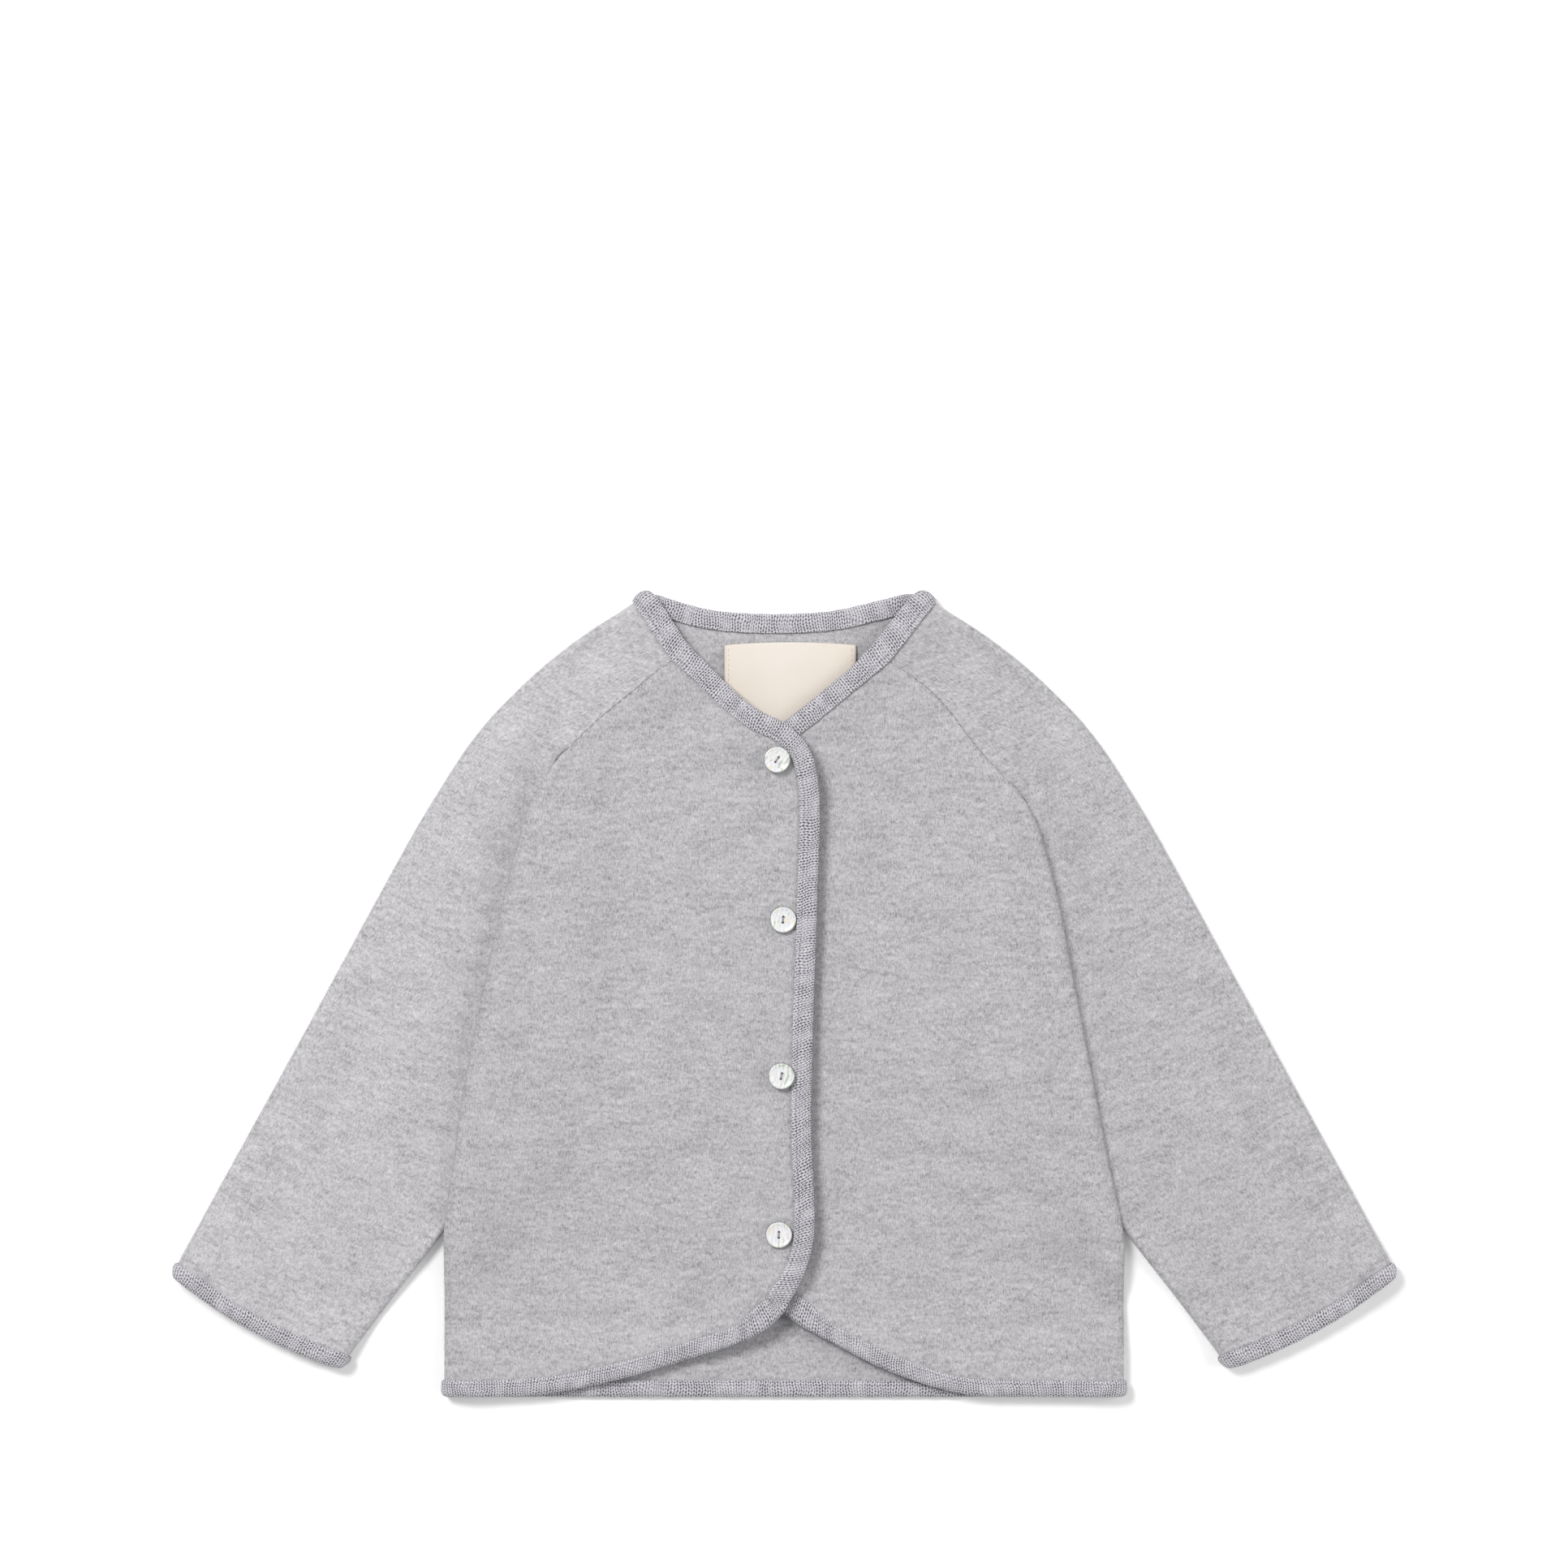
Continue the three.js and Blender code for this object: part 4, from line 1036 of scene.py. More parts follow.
    def sheet(self) -> ClothSheet:
        """The sleeve's cloth with its creases, and its pattern laid along the arm."""
        cloth = ClothSheet.through(self.coarse(), self.step)
        apex = cloth.kept_columns[SLEEVE_APEX]
        last, columns = cloth.grid.shape[0] - 1, cloth.grid.shape[1]
        cloth.round_corners(0, cloth.kept_rows[1], (apex,), *self.neck_rounding)
        ends = (0, apex, columns - 1)
        cloth.round_corners(last, cloth.kept_rows[-2], ends, *self.cuff_rounding)
        top, low = flat_points((ARM_TOP, ARM_END), self.sign)
        round_arm = np.array([walk(row) for row in cloth.grid])
        along_arm = cloth.grid[..., :2] @ unit(low - top)
        cloth.pattern = np.stack([round_arm - round_arm[:, apex:apex + 1], along_arm], axis=-1)
        upper = np.arange(columns) < apex
        raised = self.ripple.raised(cloth.grid) + sum(c.raised(cloth.grid) for c in self.creases)
        cloth.press(np.where(upper, raised, 0), cloth.inside(self.still_rim))
        return cloth


@dataclass
class FrontPanel:
    """A front: its folded side, its raglan seam, and the edge that the binding goes round."""

    lines: SideLines
    step: float = 2.3 * MM
    corner_shares: tuple[float, float] = (0.15, 0.5)
    widening: float = 0.08
    low_share: float = 0.1
    top_roll: float = 0.3
    still_rim: float = 11 * MM
    creases: tuple[Crease, ...] = ()
    ripple: Ripple = Ripple(46 * MM, 0.8 * MM, 5.0)

    def __post_init__(self) -> None:
        """Works out the side's sign and name."""
        self.sign = self.lines.side.value
        self.name = f"front_{self.lines.side.label}"

    def coarse(self) -> np.ndarray:
        """The panel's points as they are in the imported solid."""
        sign, line = self.sign, FrontEdge(self.lines).line
        corner = line.share_at_height(CORNER_Y, *self.corner_shares)
        start = (CLOTH / 2 + BOUND_ROLL) / line.length
        rounding = CORNER_HALF / line.length
        along, rise = even(start, corner, RAGLAN_STEPS), even(corner, 1, FRONT_UP)
        bottom = line.beside(along, -sign * self.bound(along - corner))
        centre = line.beside(rise, -sign * self.bound(rise - corner))
        hem_row = line.beside(even(start, corner - rounding, RAGLAN_STEPS), -sign * TURN_IN)
        hem_row = np.vstack([hem_row, line.beside(corner, -sign * TURN_IN)])
        edge = line.beside(even(corner + rounding, 1, FRONT_UP), -sign * TURN_IN)
        seam = RaglanSeam(self.lines)
        raglan = SmoothLine(seam.inner.points[::-1])
        inset = CLOTH / 2 + BODY_ROLL
        top = raglan.at(even(0, 1, RAGLAN_STEPS))
        top[0] = raglan.at(inset / raglan.length)[0]
        side_line = Fold(self.lines).line(inset)
        low = side_line.share_at_height(float(bottom[0, 1]), 0, self.low_share)
        side = side_line.at(even(low, 1, FRONT_UP))
        side[0], side[-1], centre[0], centre[-1] = bottom[0], top[0], bottom[-1], top[-1]
        body = np.concatenate([patch(bottom, top, side, centre), edge[:, None]], axis=1)
        plan = np.concatenate([hem_row[None], body])
        grid = SolidProbe(self.name, CLOTH).lift(plan)
        grid[-1, 1:RAGLAN_STEPS + 1, 2] = seam.heights()[::-1]
        return np.concatenate([self.curl(grid), grid], axis=1)

    def bound(self, past: np.ndarray) -> np.ndarray:
        """How wide the binding is at shares of the edge past its corner."""
        return mix(HEM_WIDTH, PLACKET_WIDTH, ease((past + self.widening) / self.widening))

    def curl(self, grid: np.ndarray) -> np.ndarray:
        """Turns the cloth down at the folded side.

        Args:
            grid: the panel's points.

        Returns:
            The two columns of points of the turn.
        """
        roll = np.full((len(grid), 1), BODY_ROLL)
        roll[:2] = BOUND_ROLL
        flat = roll.copy()
        flat[-1] = 0
        roll[-1] *= self.top_roll
        out = unit(grid[:, 0, :2] - grid[:, 1, :2])
        columns = []
        for angle in (math.pi / 2 - SLIT, math.pi / 4):
            plan = grid[:, 0, :2] + out * roll * math.sin(angle)
            height = grid[:, 0, 2:] - flat * (1 - math.cos(angle))
            columns.append(np.hstack([plan, height]))
        return np.stack(columns, axis=1)

    def sheet(self) -> ClothSheet:
        """The panel's cloth with its creases."""
        cloth = ClothSheet.through(self.coarse(), self.step)
        raised = self.ripple.raised(cloth.grid) + sum(c.raised(cloth.grid) for c in self.creases)
        cloth.press(raised, cloth.inside(self.still_rim))
        return cloth


@dataclass
class Strip:
    """Where a knit binding runs: the cloth's edge and the seam inside it, with their normals."""

    LEAST_STEP = 1e-7

    edge: np.ndarray
    edge_normal: np.ndarray
    seam: np.ndarray
    seam_normal: np.ndarray

    @classmethod
    def on(
        cls, cloth: ClothSheet, edges: list[tuple[int, int]], seams: list[tuple[int, int]]
    ) -> "Strip":
        """Takes the strip's places from a sheet.

        Args:
            cloth: the sheet that is bound.
            edges: rows and columns of the places on its edge.
            seams: rows and columns of the places on the seam line, one for each edge place.

        Returns:
            The strip.
        """
        away = cloth.normals()
        e, s = np.array(edges), np.array(seams)
        return cls(cloth.grid[e[:, 0], e[:, 1]], away[e[:, 0], e[:, 1]],
                   cloth.grid[s[:, 0], s[:, 1]], away[s[:, 0], s[:, 1]])

    @classmethod
    def between(cls, cloth: ClothSheet, edge: int, seam: int, columns: range) -> "Strip":
        """The strip between two rows of a sheet, at some of its columns."""
        return cls.on(cloth, [(edge, i) for i in columns], [(seam, i) for i in columns])

    def parts(self) -> tuple[np.ndarray, ...]:
        """The four rows of values, in order."""
        return self.edge, self.edge_normal, self.seam, self.seam_normal

    def then(self, other: "Strip") -> "Strip":
        """This strip followed by another."""
        return Strip(*(np.vstack(pair) for pair in zip(self.parts(), other.parts())))

    def reversed(self) -> "Strip":
        """The same strip, run the other way."""
        return Strip(*(part[::-1] for part in self.parts()))

    def flipped(self) -> "Strip":
        """The same strip, seen from the other face of the cloth."""
        return Strip(self.edge, -self.edge_normal, self.seam, -self.seam_normal)

    def evenly(self, pitch: float, trim: float) -> tuple["Strip", np.ndarray]:
        """Stations at even distances.

        Args:
            pitch: the distance between them.
            trim: what is left off at each end.

        Returns:
            The strip, and the distance walked at each of its stations.
        """
        walked = self.walked()
        count = max(2, int(round((walked[-1] - 2 * trim) / pitch)))
        wanted = even(trim, walked[-1] - trim, count)
        edge, edge_normal, seam, seam_normal = (
            nearby(part, walked, wanted) for part in self.parts()
        )
        return Strip(edge, unit(edge_normal), seam, unit(seam_normal)), wanted

    def walked(self) -> np.ndarray:
        """The distance run at each place, along whichever side of the strip runs furthest."""
        middle = (self.edge + self.seam) / 2
        upper_edge = self.edge + SHELL * self.edge_normal
        upper_seam = self.seam + SHELL * self.seam_normal
        runs = (self.edge, middle, upper_edge, upper_seam)
        step = np.max([np.linalg.norm(np.diff(run, axis=0), axis=1) for run in runs], axis=0)
        return np.concatenate([[0], np.cumsum(np.maximum(step, self.LEAST_STEP))])

    def softened(self, reach: int) -> "Strip":
        """Makes sharp turns gentle, and keeps the ends.

        Args:
            reach: how many places to either side are mixed in.

        Returns:
            The new strip.
        """
        window = np.hanning(2 * reach + 3)[1:-1]
        window /= window.sum()
        soft = []
        for part in self.parts():
            before = 2 * part[:1] - part[reach:0:-1]
            after = 2 * part[-1:] - part[-2:-2 - reach:-1]
            padded = np.vstack([before, part, after])
            lanes = [np.convolve(padded[:, k], window, "valid") for k in range(3)]
            soft.append(np.stack(lanes, axis=1))
        return Strip(soft[0], unit(soft[1]), soft[2], unit(soft[3]))


@dataclass(frozen=True)
class RibKnit:
    """The relief of the binding's knit: pairs of wales across it, and a chain along its seam, with
    painted shade that follows the relief.
    """

    wale: float = 2.15 * MM
    course: float = 1.75 * MM
    chain_course: float = 1.9 * MM
    rib: float = 0.12 * MM
    stitch: float = 0.16 * MM
    wales_in_rib: int = 4
    rib_edge: float = 2.2
    chain_width: float = 1.5 * MM
    chain_height: float = 0.2 * MM
    chain_inset: float = 0.1 * MM
    slant: float = 0.42
    purl_bow: float = 0.25
    strand_low: float = 0.35
    chain_low: float = 0.4
    uneven: tuple[tuple[float, float, float], ...] = ((0.16, 1.7, 0.0), (0.1, 0.61, 2.0))
    knit_middle: float = 0.42
    middle: float = 0.4
    knit_shade: float = 0.3
    purl_shade: float = 0.35
    chain_shade: float = 0.55
    chain_end: float = 1.05
    chain_fade: float = 0.12
    valley_at: float = 1.2
    valley_width: float = 0.2
    valley_depth: float = 0.5
    valley_shade: float = 0.12

    def strand(self, across: np.ndarray, along: np.ndarray) -> np.ndarray:
        """The height, 0 to 1, of a column of V stitches.

        Args:
            across: the place across the column, from -1 to 1.
            along: the place along it, in stitches.

        Returns:
            The height of the two slanted legs of each stitch.
        """
        leg = np.sqrt(np.clip(1 - (2 * np.abs(across) - 1) ** 2, 0, 1))
        wave = 0.5 + 0.5 * np.cos(2 * np.pi * (along + self.slant * np.abs(across)))
        return leg * (self.strand_low + (1 - self.strand_low) * wave)

    def ribs(self, along: np.ndarray, across: np.ndarray) -> tuple[np.ndarray, np.ndarray]:
        """Raised ribs of V stitches with purl between them.

        Args:
            along: the distance along the strip.
            across: the distance from the fold at its outer edge.

        Returns:
            The height of each point in metres, and the painted shade there, about 0.5: lighter where
            the stitches stand higher.
        """
        wales = along / self.wale
        index = np.floor(wales)
        place = 2 * (wales - index) - 1
        wave = np.cos(2 * np.pi * (wales - 1) / self.wales_in_rib)
        raised = 0.5 + 0.5 * np.tanh(self.rib_edge * wave)
        jitter = sum(much * np.sin(often * index + start) for much, often, start in self.uneven)
        courses = across / self.course + jitter
        knit = self.strand(place, courses)
        bow = self.purl_bow * np.cos(np.pi * place)
        bar = 0.5 + 0.5 * np.cos(2 * np.pi * (courses + bow))
        purl = bar * np.sqrt(np.clip(1 - place**2, 0, 1))
        height = self.rib * raised + self.stitch * (raised * knit + (1 - raised) * purl)
        shown = self.knit_shade * raised * (knit - self.knit_middle)
        hidden = self.purl_shade * (1 - raised) * (purl - self.middle)
        return height, 0.5 + shown + hidden

    def relief(
        self, along: np.ndarray, across: np.ndarray, length: float
    ) -> tuple[np.ndarray, np.ndarray]:
        """The relief and the painted shade of the knit, with the chain of stitches at its seam.

        Args:
            along: the distance along the strip.
            across: the distance from the fold at its outer edge, up to its seam.
            length: the distance across to the seam.

        Returns:
            The height of each point in metres, and the painted shade there, from 0 to 1: lighter on
            raised stitches and links, darker in the valley beside the chain.
        """
        height, light = self.ribs(along, across)
        chain = (length - self.chain_inset - across) / self.chain_width
        place = 2 * chain - 1
        on_chain = ease((self.chain_end - np.abs(place)) / self.chain_fade)
        ridge = np.sqrt(np.clip(1 - place**2, 0, 1))
        links = self.strand(np.clip(place, -1, 1), along / self.chain_course)
        chained = self.chain_height * ridge * (self.chain_low + (1 - self.chain_low) * links)
        valley = np.exp(-(((chain - self.valley_at) / self.valley_width) ** 2))
        knit, shade = 1 - on_chain, 0.5 + self.chain_shade * (links - self.middle)
        height = height * knit * (1 - self.valley_depth * valley) + chained * on_chain
        light = light * knit + shade * on_chain
        return height, np.clip(light - self.valley_shade * valley * knit, 0, 1)


@dataclass
class KnitBinding:
    """Ribbed knit folded round a cloth's edge and sewn through both of its legs.

    A row of its profile is one point of the outer face, from the upper seam round the fold to the
    lower one: the share of the strip's width inwards, of the turn outwards, and of the height up.
    """

    name: str
    strip: Strip
    trim: float = GAP / 2
    pitch: float = 0.47 * MM
    reach: int = 5
    around: int = 40
    grip: float = 0.06 * MM
    grip_share: float = 0.8
    lining_light: float = 0.3
    knit: RibKnit = RibKnit()
    profile: tuple[tuple[float, float, float], ...] = (
        (1, 0, 0.74), (0.85, 0, 0.94), (0.5, 0, 1.08), (0, 0, 0.98), (0, 1, 0.5), (0, 1, -0.5),
        (0, 0, -0.98), (0.5, 0, -1.04), (0.85, 0, -0.94), (1, 0, -0.74),
    )

    def outline(self, mean: float) -> SmoothLine:
        """The outer face of the section, for a strip of a mean width."""
        return SmoothLine(np.array([
            (into * mean - out * TURN_IN, high * SHELL) for into, out, high in self.profile
        ]))

    def lining(self, mean: float) -> np.ndarray:
        """The inner face of the section, which holds the cloth's edge and is sewn to it.

        Args:
            mean: the strip's mean width.

        Returns:
            Its points, as distances in from the edge and heights.
        """
        slot, sewn = CLOTH / 2 + GAP, CLOTH / 2 + self.grip
        gripped = self.grip_share * mean
        upper = [(-GAP, slot), (gripped, slot), (mean, sewn)]
        return np.array([(into, -high) for into, high in upper[::-1]] + upper)

    def build(self) -> Piece:
        """Makes the closed mesh, with the knit's relief on its outer face.

        Returns:
            The new piece.
        """
        strip, _ = self.strip.evenly(self.pitch, self.trim)
        strip, walked = strip.softened(self.reach).evenly(self.pitch, 0)
        width = np.linalg.norm(strip.seam - strip.edge, axis=1)
        mean = float(np.median(width))
        line, lining = self.outline(mean), self.lining(mean)
        shares = even(0, 1, self.around - 1)
        flat, run = line.at(shares), line.tangent(shares)
        outwards = np.stack([run[:, 1], -run[:, 0]], axis=1)
        outwards *= -np.sign(outwards[len(outwards) // 2, 0])
        along = np.repeat(walked[:, None], self.around, axis=1)
        distance = np.abs(shares - 0.5) * line.length
        across = np.repeat(distance[None], len(walked), axis=0)
        height, light = self.knit.relief(along, across, line.length / 2)
        face = flat[None] + outwards[None] * height[..., None]
        section = np.concatenate([face, np.repeat(lining[None], len(walked), axis=0)], axis=1)
        spots = self.placed(strip, section, width, mean)
        above = np.arange(self.around) < self.around / 2
        pattern = np.concatenate([
            np.stack([along, np.where(above, across, -across)], axis=-1),
            np.zeros((len(walked), len(lining), 2)),
        ], axis=1)
        faces = tube_faces(len(walked), spots.shape[1])
        piece = new_piece(self.name, spots.reshape(-1, 3), faces, pattern.reshape(-1, 2))
        unseen = np.full((len(walked), len(lining)), self.lining_light)
        # The painted shade of the knit's relief, with a fixed dark value on the unseen lining.
        add_weight(piece, "yarn_light", np.concatenate([light, unseen], axis=1).ravel())
        return piece

    def placed(
        self, strip: Strip, section: np.ndarray, width: np.ndarray, mean: float
    ) -> np.ndarray:
        """Carries the section along the strip.

        Args:
            strip: where it runs.
            section: places inwards and up, for each station.
            width: the strip's width at each station.
            mean: the width that the section is drawn for.

        Returns:
            The points, one row for each station.
        """
        share = np.clip(section[..., :1] / mean, 0, 1)
        inwards = unit(strip.seam - strip.edge)[:, None]
        normal = unit(strip.edge_normal[:, None] * (1 - share) + strip.seam_normal[:, None] * share)
        stretched = section[..., :1] * (width / mean)[:, None, None]
        into = np.where(section[..., :1] > 0, stretched, section[..., :1])
        spots = strip.edge[:, None] + inwards * into + normal * section[..., 1:]
        spots[..., 2] = np.maximum(spots[..., 2], 0)
        return spots


def ring_faces(stations: int, ring: int) -> list[list[int]]:
    """The quads of a closed section carried along a run.

    Args:
        stations: how often the section stands along the run.
        ring: how many points the section has.

    Returns:
        The faces, as rows of point numbers.
    """
    faces = []
    for k in range(stations - 1):
        for n in range(ring):
            m = (n + 1) % ring
            faces.append([k * ring + n, k * ring + m, (k + 1) * ring + m, (k + 1) * ring + n])
    return faces


def tube_faces(stations: int, ring: int) -> list[list[int]]:
    """The quads of a closed section carried along a run, and the two faces at its ends."""
    last = (stations - 1) * ring
    ends = [list(range(ring))[::-1], [last + n for n in range(ring)]]
    return ring_faces(stations, ring) + ends


@dataclass
class NeckLabel:
    """A small woven label sewn inside the back neck, bare on its face."""

    left: float = -25.5 * MM
    right: float = 30.5 * MM
    top: float = 149 * MM
    bottom: float = 111.5 * MM
    arch: float = 1.2 * MM
    thickness: float = 1.0 * MM
    across: int = 6
    up: int = 4
    step: float = 1.2 * MM
    still_rim: float = 3 * MM
    ripple: Ripple = Ripple(17 * MM, 0.22 * MM, 8.0)

    def sheet(self) -> ClothSheet:
        """The label's tape, slightly arched at its top."""
        u, v = even(0, 1, self.across)[None, :], even(0, 1, self.up)[:, None]
        x = mix(self.left, self.right, u) + 0 * v
        y = mix(self.bottom, self.top, v) + self.arch * 4 * u * (1 - u) * v
        coarse = SolidProbe("label", self.thickness).lift(np.stack([x, y], axis=-1))
        tape = ClothSheet.through(coarse, self.step, self.thickness)
        tape.press(self.ripple.raised(tape.grid), tape.inside(self.still_rim))
        return tape


@dataclass
class ShellButton:
    """A round shell button with a raised rim, a shallow dish and two holes.

    A row of its outline is one point of the turned section, from the middle of the foot round the
    rim to the middle of the dish: the share of the radius out, and of the height up.
    """

    name: str
    turn: float
    radius: float = 5.75 * MM
    height: float = 2.1 * MM
    hole: float = 0.6 * MM
    spread: float = 1.1 * MM
    ring: int = 96
    rings: int = 43
    drill_sides: int = 28
    dish: float = 0.74
    lanes: tuple[float, ...] = (-0.416, 0, 0.416)
    lane_steps: int = 16
    lane_reach: float = 1.05
    sunk: float = 0.55 * MM
    arched: float = 0.62 * MM
    crowned: float = 0.05 * MM
    thread_radius: float = 0.16 * MM
    outline: Rows = (
        (0, 0.02), (0.5, 0.0), (0.8, 0.0), (0.93, 0.16), (1.0, 0.44), (0.995, 0.66), (0.965, 0.88),
        (0.91, 0.99), (0.85, 0.985), (0.79, 0.92), (0.72, 0.84), (0.6, 0.79), (0.4, 0.75),
        (0.2, 0.735), (0, 0.73),
    )

    def __post_init__(self) -> None:
        """Finds where the button lies, and how far it is turned."""
        low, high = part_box(self.name)
        self.centre = np.array([(low.x + high.x) / 2, (low.y + high.y) / 2, low.z])
        turned = math.radians(-self.turn)
        self.spin = np.array([[math.cos(turned), -math.sin(turned)],
                              [math.sin(turned), math.cos(turned)]])
        self.along = self.spin @ np.array([0, 1.0])

    def build(self) -> Piece:
        """Makes the turned disc and bores its holes.

        Returns:
            The new piece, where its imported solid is.
        """
        disc = self.disc()
        for side in (-1, 1):
            self.bore(disc, side)
        corners = np.array([v.co for v in disc.data.vertices])
        corners[:, :2] = corners[:, :2] @ self.spin.T
        corners += self.centre
        disc.data.vertices.foreach_set("co", corners.ravel())
        disc.data.update()
        return disc

    def disc(self) -> Piece:
        """The disc without its holes, turned round the upright axis.

        Returns:
            The new piece, with its foot on the ground about the origin.
        """
        line = SmoothLine(np.array([(r * self.radius, z * self.height) for r, z in self.outline]))
        section = line.at(even(0, 1, self.rings))[1:-1]
        angles = np.linspace(0, 2 * np.pi, self.ring, endpoint=False)
        circle = np.stack([np.cos(angles), np.sin(angles)], axis=1)
        body = np.concatenate([
            section[:, None, :1] * circle[None],
            np.repeat(section[:, None, 1:], self.ring, axis=1),
        ], axis=-1)
        foot, top = line.at(0)[0, 1], line.at(1)[0, 1]
        spots = np.vstack([body.reshape(-1, 3), [[0, 0, foot], [0, 0, top]]])
        faces = ring_faces(len(section), self.ring)
        last, count = (len(section) - 1) * self.ring, len(section) * self.ring
        for i in range(self.ring):
            k = (i + 1) % self.ring
            faces.append([count, k, i])
            faces.append([count + 1, last + i, last + k])
        return new_piece(self.name + "_shell", spots, faces, spots[:, :2])

    def bore(self, piece: Piece, side: int) -> None:
        """Cuts one of the holes right through the disc.

        Args:
            piece: the disc.
            side: 1 or -1, the hole's side of the middle.
        """
        bpy.ops.mesh.primitive_cylinder_add(
            vertices=self.drill_sides, radius=self.hole, depth=4 * self.height,
            location=(0, side * self.spread, 0.5 * self.height))
        drill = bpy.context.object
        cut = piece.modifiers.new("hole", "BOOLEAN")
        cut.operation, cut.solver, cut.object = "DIFFERENCE", "EXACT", drill
        bpy.context.view_layer.update()
        graph = bpy.context.evaluated_depsgraph_get()
        shaped = bpy.data.meshes.new_from_object(piece.evaluated_get(graph))
        piece.modifiers.clear()
        piece.data = shaped
        bpy.data.objects.remove(drill)

    def thread(self) -> Piece:
        """Makes the sewing thread that runs from hole to hole.

        Returns:
            The new piece.
        """
        foot = self.centre[2] + self.dish * self.height - self.sunk
        steps = even(-1, 1, self.lane_steps)
        rise = np.sqrt(np.clip(1 - np.abs(steps) ** 4, 0, 1))
        paths = []
        for lane in self.lanes:
            across = np.array([-self.along[1], self.along[0]]) * lane * self.hole
            run = np.outer(steps * self.spread * self.lane_reach, self.along)
            arch = self.arched + (self.crowned if lane == 0 else 0)
            paths.append(np.column_stack([self.centre[:2] + across + run, foot + arch * rise]))
        return thread_piece(self.name + "_thread", paths, self.thread_radius)


def thread_piece(name: str, paths: list[np.ndarray], radius: float, ring: int = 8) -> Piece:
    """Makes one mesh of thin round threads with closed, narrower ends.

    Args:
        name: the piece's name.
        paths: the points that each thread follows.
        radius: the threads' radius.
        ring: points round a thread.

    Returns:
        The new piece.
    """
    spots, faces, pattern = [], [], []
    angles = np.linspace(0, 2 * np.pi, ring, endpoint=False)
    for path in paths:
        run = unit(np.gradient(path, axis=0))
        side = unit(np.cross(run, THREAD_UP))
        up = np.cross(side, run)
        share = np.linspace(THREAD_END, 1 - THREAD_END, len(path))
        taper = np.sin(np.pi * share) ** THREAD_TAPER
        circle = side[:, None] * np.cos(angles)[:, None] + up[:, None] * np.sin(angles)[:, None]
        base = sum(len(s) for s in spots)
        spots.append((path[:, None] + circle * radius * taper[:, None, None]).reshape(-1, 3))
        around = np.tile(angles * radius, len(path))
        pattern.append(np.stack([np.repeat(walk(path), ring), around], axis=1))
        faces += [[base + n for n in face] for face in tube_faces(len(path), ring)]
    return new_piece(name, np.vstack(spots), faces, np.vstack(pattern))


@dataclass
class StitchRow:
    """A row of small running stitches."""

    name: str
    stitch: float = 2.0 * MM
    pitch: float = 3.1 * MM
    radius: float = 0.14 * MM
    steps: int = 6
    sunk: float = 0.6
    label_inset: float = 1.5 * MM
    label_shares: tuple[float, float] = (0.03, 0.97)
    label_steps: int = 8

    def build(self, line: SmoothLine, shares: np.ndarray, heights: np.ndarray) -> list[np.ndarray]:
        """The paths of the stitches.

        Args:
            line: the line they follow.
            shares: places along the line where the height is known.
            heights: the heights there.

        Returns:
            The points of each stitch.
        """
        first, last = shares[0] * line.length, shares[-1] * line.length
        rise = self.radius * (np.sin(even(0, np.pi, self.steps)) - self.sunk)
        paths = []
        for start in np.arange(first, last - self.stitch, self.pitch):
            along = (start + even(0, self.stitch, self.steps)) / line.length
            height = np.interp(along, shares, heights) + rise
            paths.append(np.column_stack([line.at(along), height]))
        return paths

    def raglan(self, lines: SideLines) -> Piece:
        """Makes the stitches along a raglan seam.

        Args:
            lines: the lines of the garment's side.

        Returns:
            The new piece.
        """
        seam = RaglanSeam(lines)
        line = SmoothLine((seam.inner.points + seam.outer.points) / 2)
        shares = even(0, 1, RAGLAN_STEPS)[:-1]
        paths = self.build(line, shares, seam.heights() + CLOTH / 2)
        return thread_piece(self.name, paths, self.radius)

    def label(self, label: NeckLabel) -> Piece:
        """Makes the stitches down both sides of the label.

        Args:
            label: the label.

        Returns:
            The new piece.
        """
        probe, paths = SolidProbe("label", label.thickness), []
        shares = even(*self.label_shares, self.label_steps)
        for x in (label.left + self.label_inset, label.right - self.label_inset):
            line = SmoothLine(np.array([(x, label.bottom), (x, label.top)]))
            heights = probe.lift(line.at(shares))[:, 2] + label.thickness / 2
            paths += self.build(line, shares, heights)
        return thread_piece(self.name, paths, self.radius)


@dataclass
class Nap:
    """Short soft hairs that stand out from an edge of brushed cloth."""

    name: str
    seed: int
    spacing: float = 0.42 * MM
    length: float = 1.3 * MM
    shortest: float = 0.4
    radius: float = 0.035 * MM
    root: float = 0.45
    lean: float = 0.45
    bend: float = 0.3
    steps: int = 3
    sides: int = 3

    def build(self, cloth: ClothSheet, columns: tuple[int, ...], rows: tuple[int, int]) -> Piece:
        """Sets hairs along columns of a sheet.

        Args:
            cloth: the sheet.
            columns: the columns at its outline.
            rows: the first and the last row.

        Returns:
            The new piece.
        """
        draw = np.random.default_rng(self.seed)
        steps = even(0, 1, self.steps)[:, None]
        paths, away = [], cloth.normals()
        for column in columns:
            edge = cloth.grid[rows[0]:rows[1], column]
            facing = away[rows[0]:rows[1], column]
            walked = walk(edge)
            for place in np.arange(0, walked[-1], self.spacing):
                at = min(place + draw.uniform(0, self.spacing), walked[-1])
                out = nearby(facing, walked, at)
                root = nearby(edge, walked, at) + out * CLOTH * self.root
                lean = unit(out + draw.normal(0, self.lean, 3))
                bend = draw.normal(0, self.bend, 3)
                grown = self.length * draw.uniform(self.shortest, 1.0)
                path = root + grown * (lean * steps + bend * steps**2)
                path[:, 2] = np.maximum(path[:, 2], 2 * self.radius)
                paths.append(path)
        return thread_piece(self.name, paths, self.radius, self.sides)


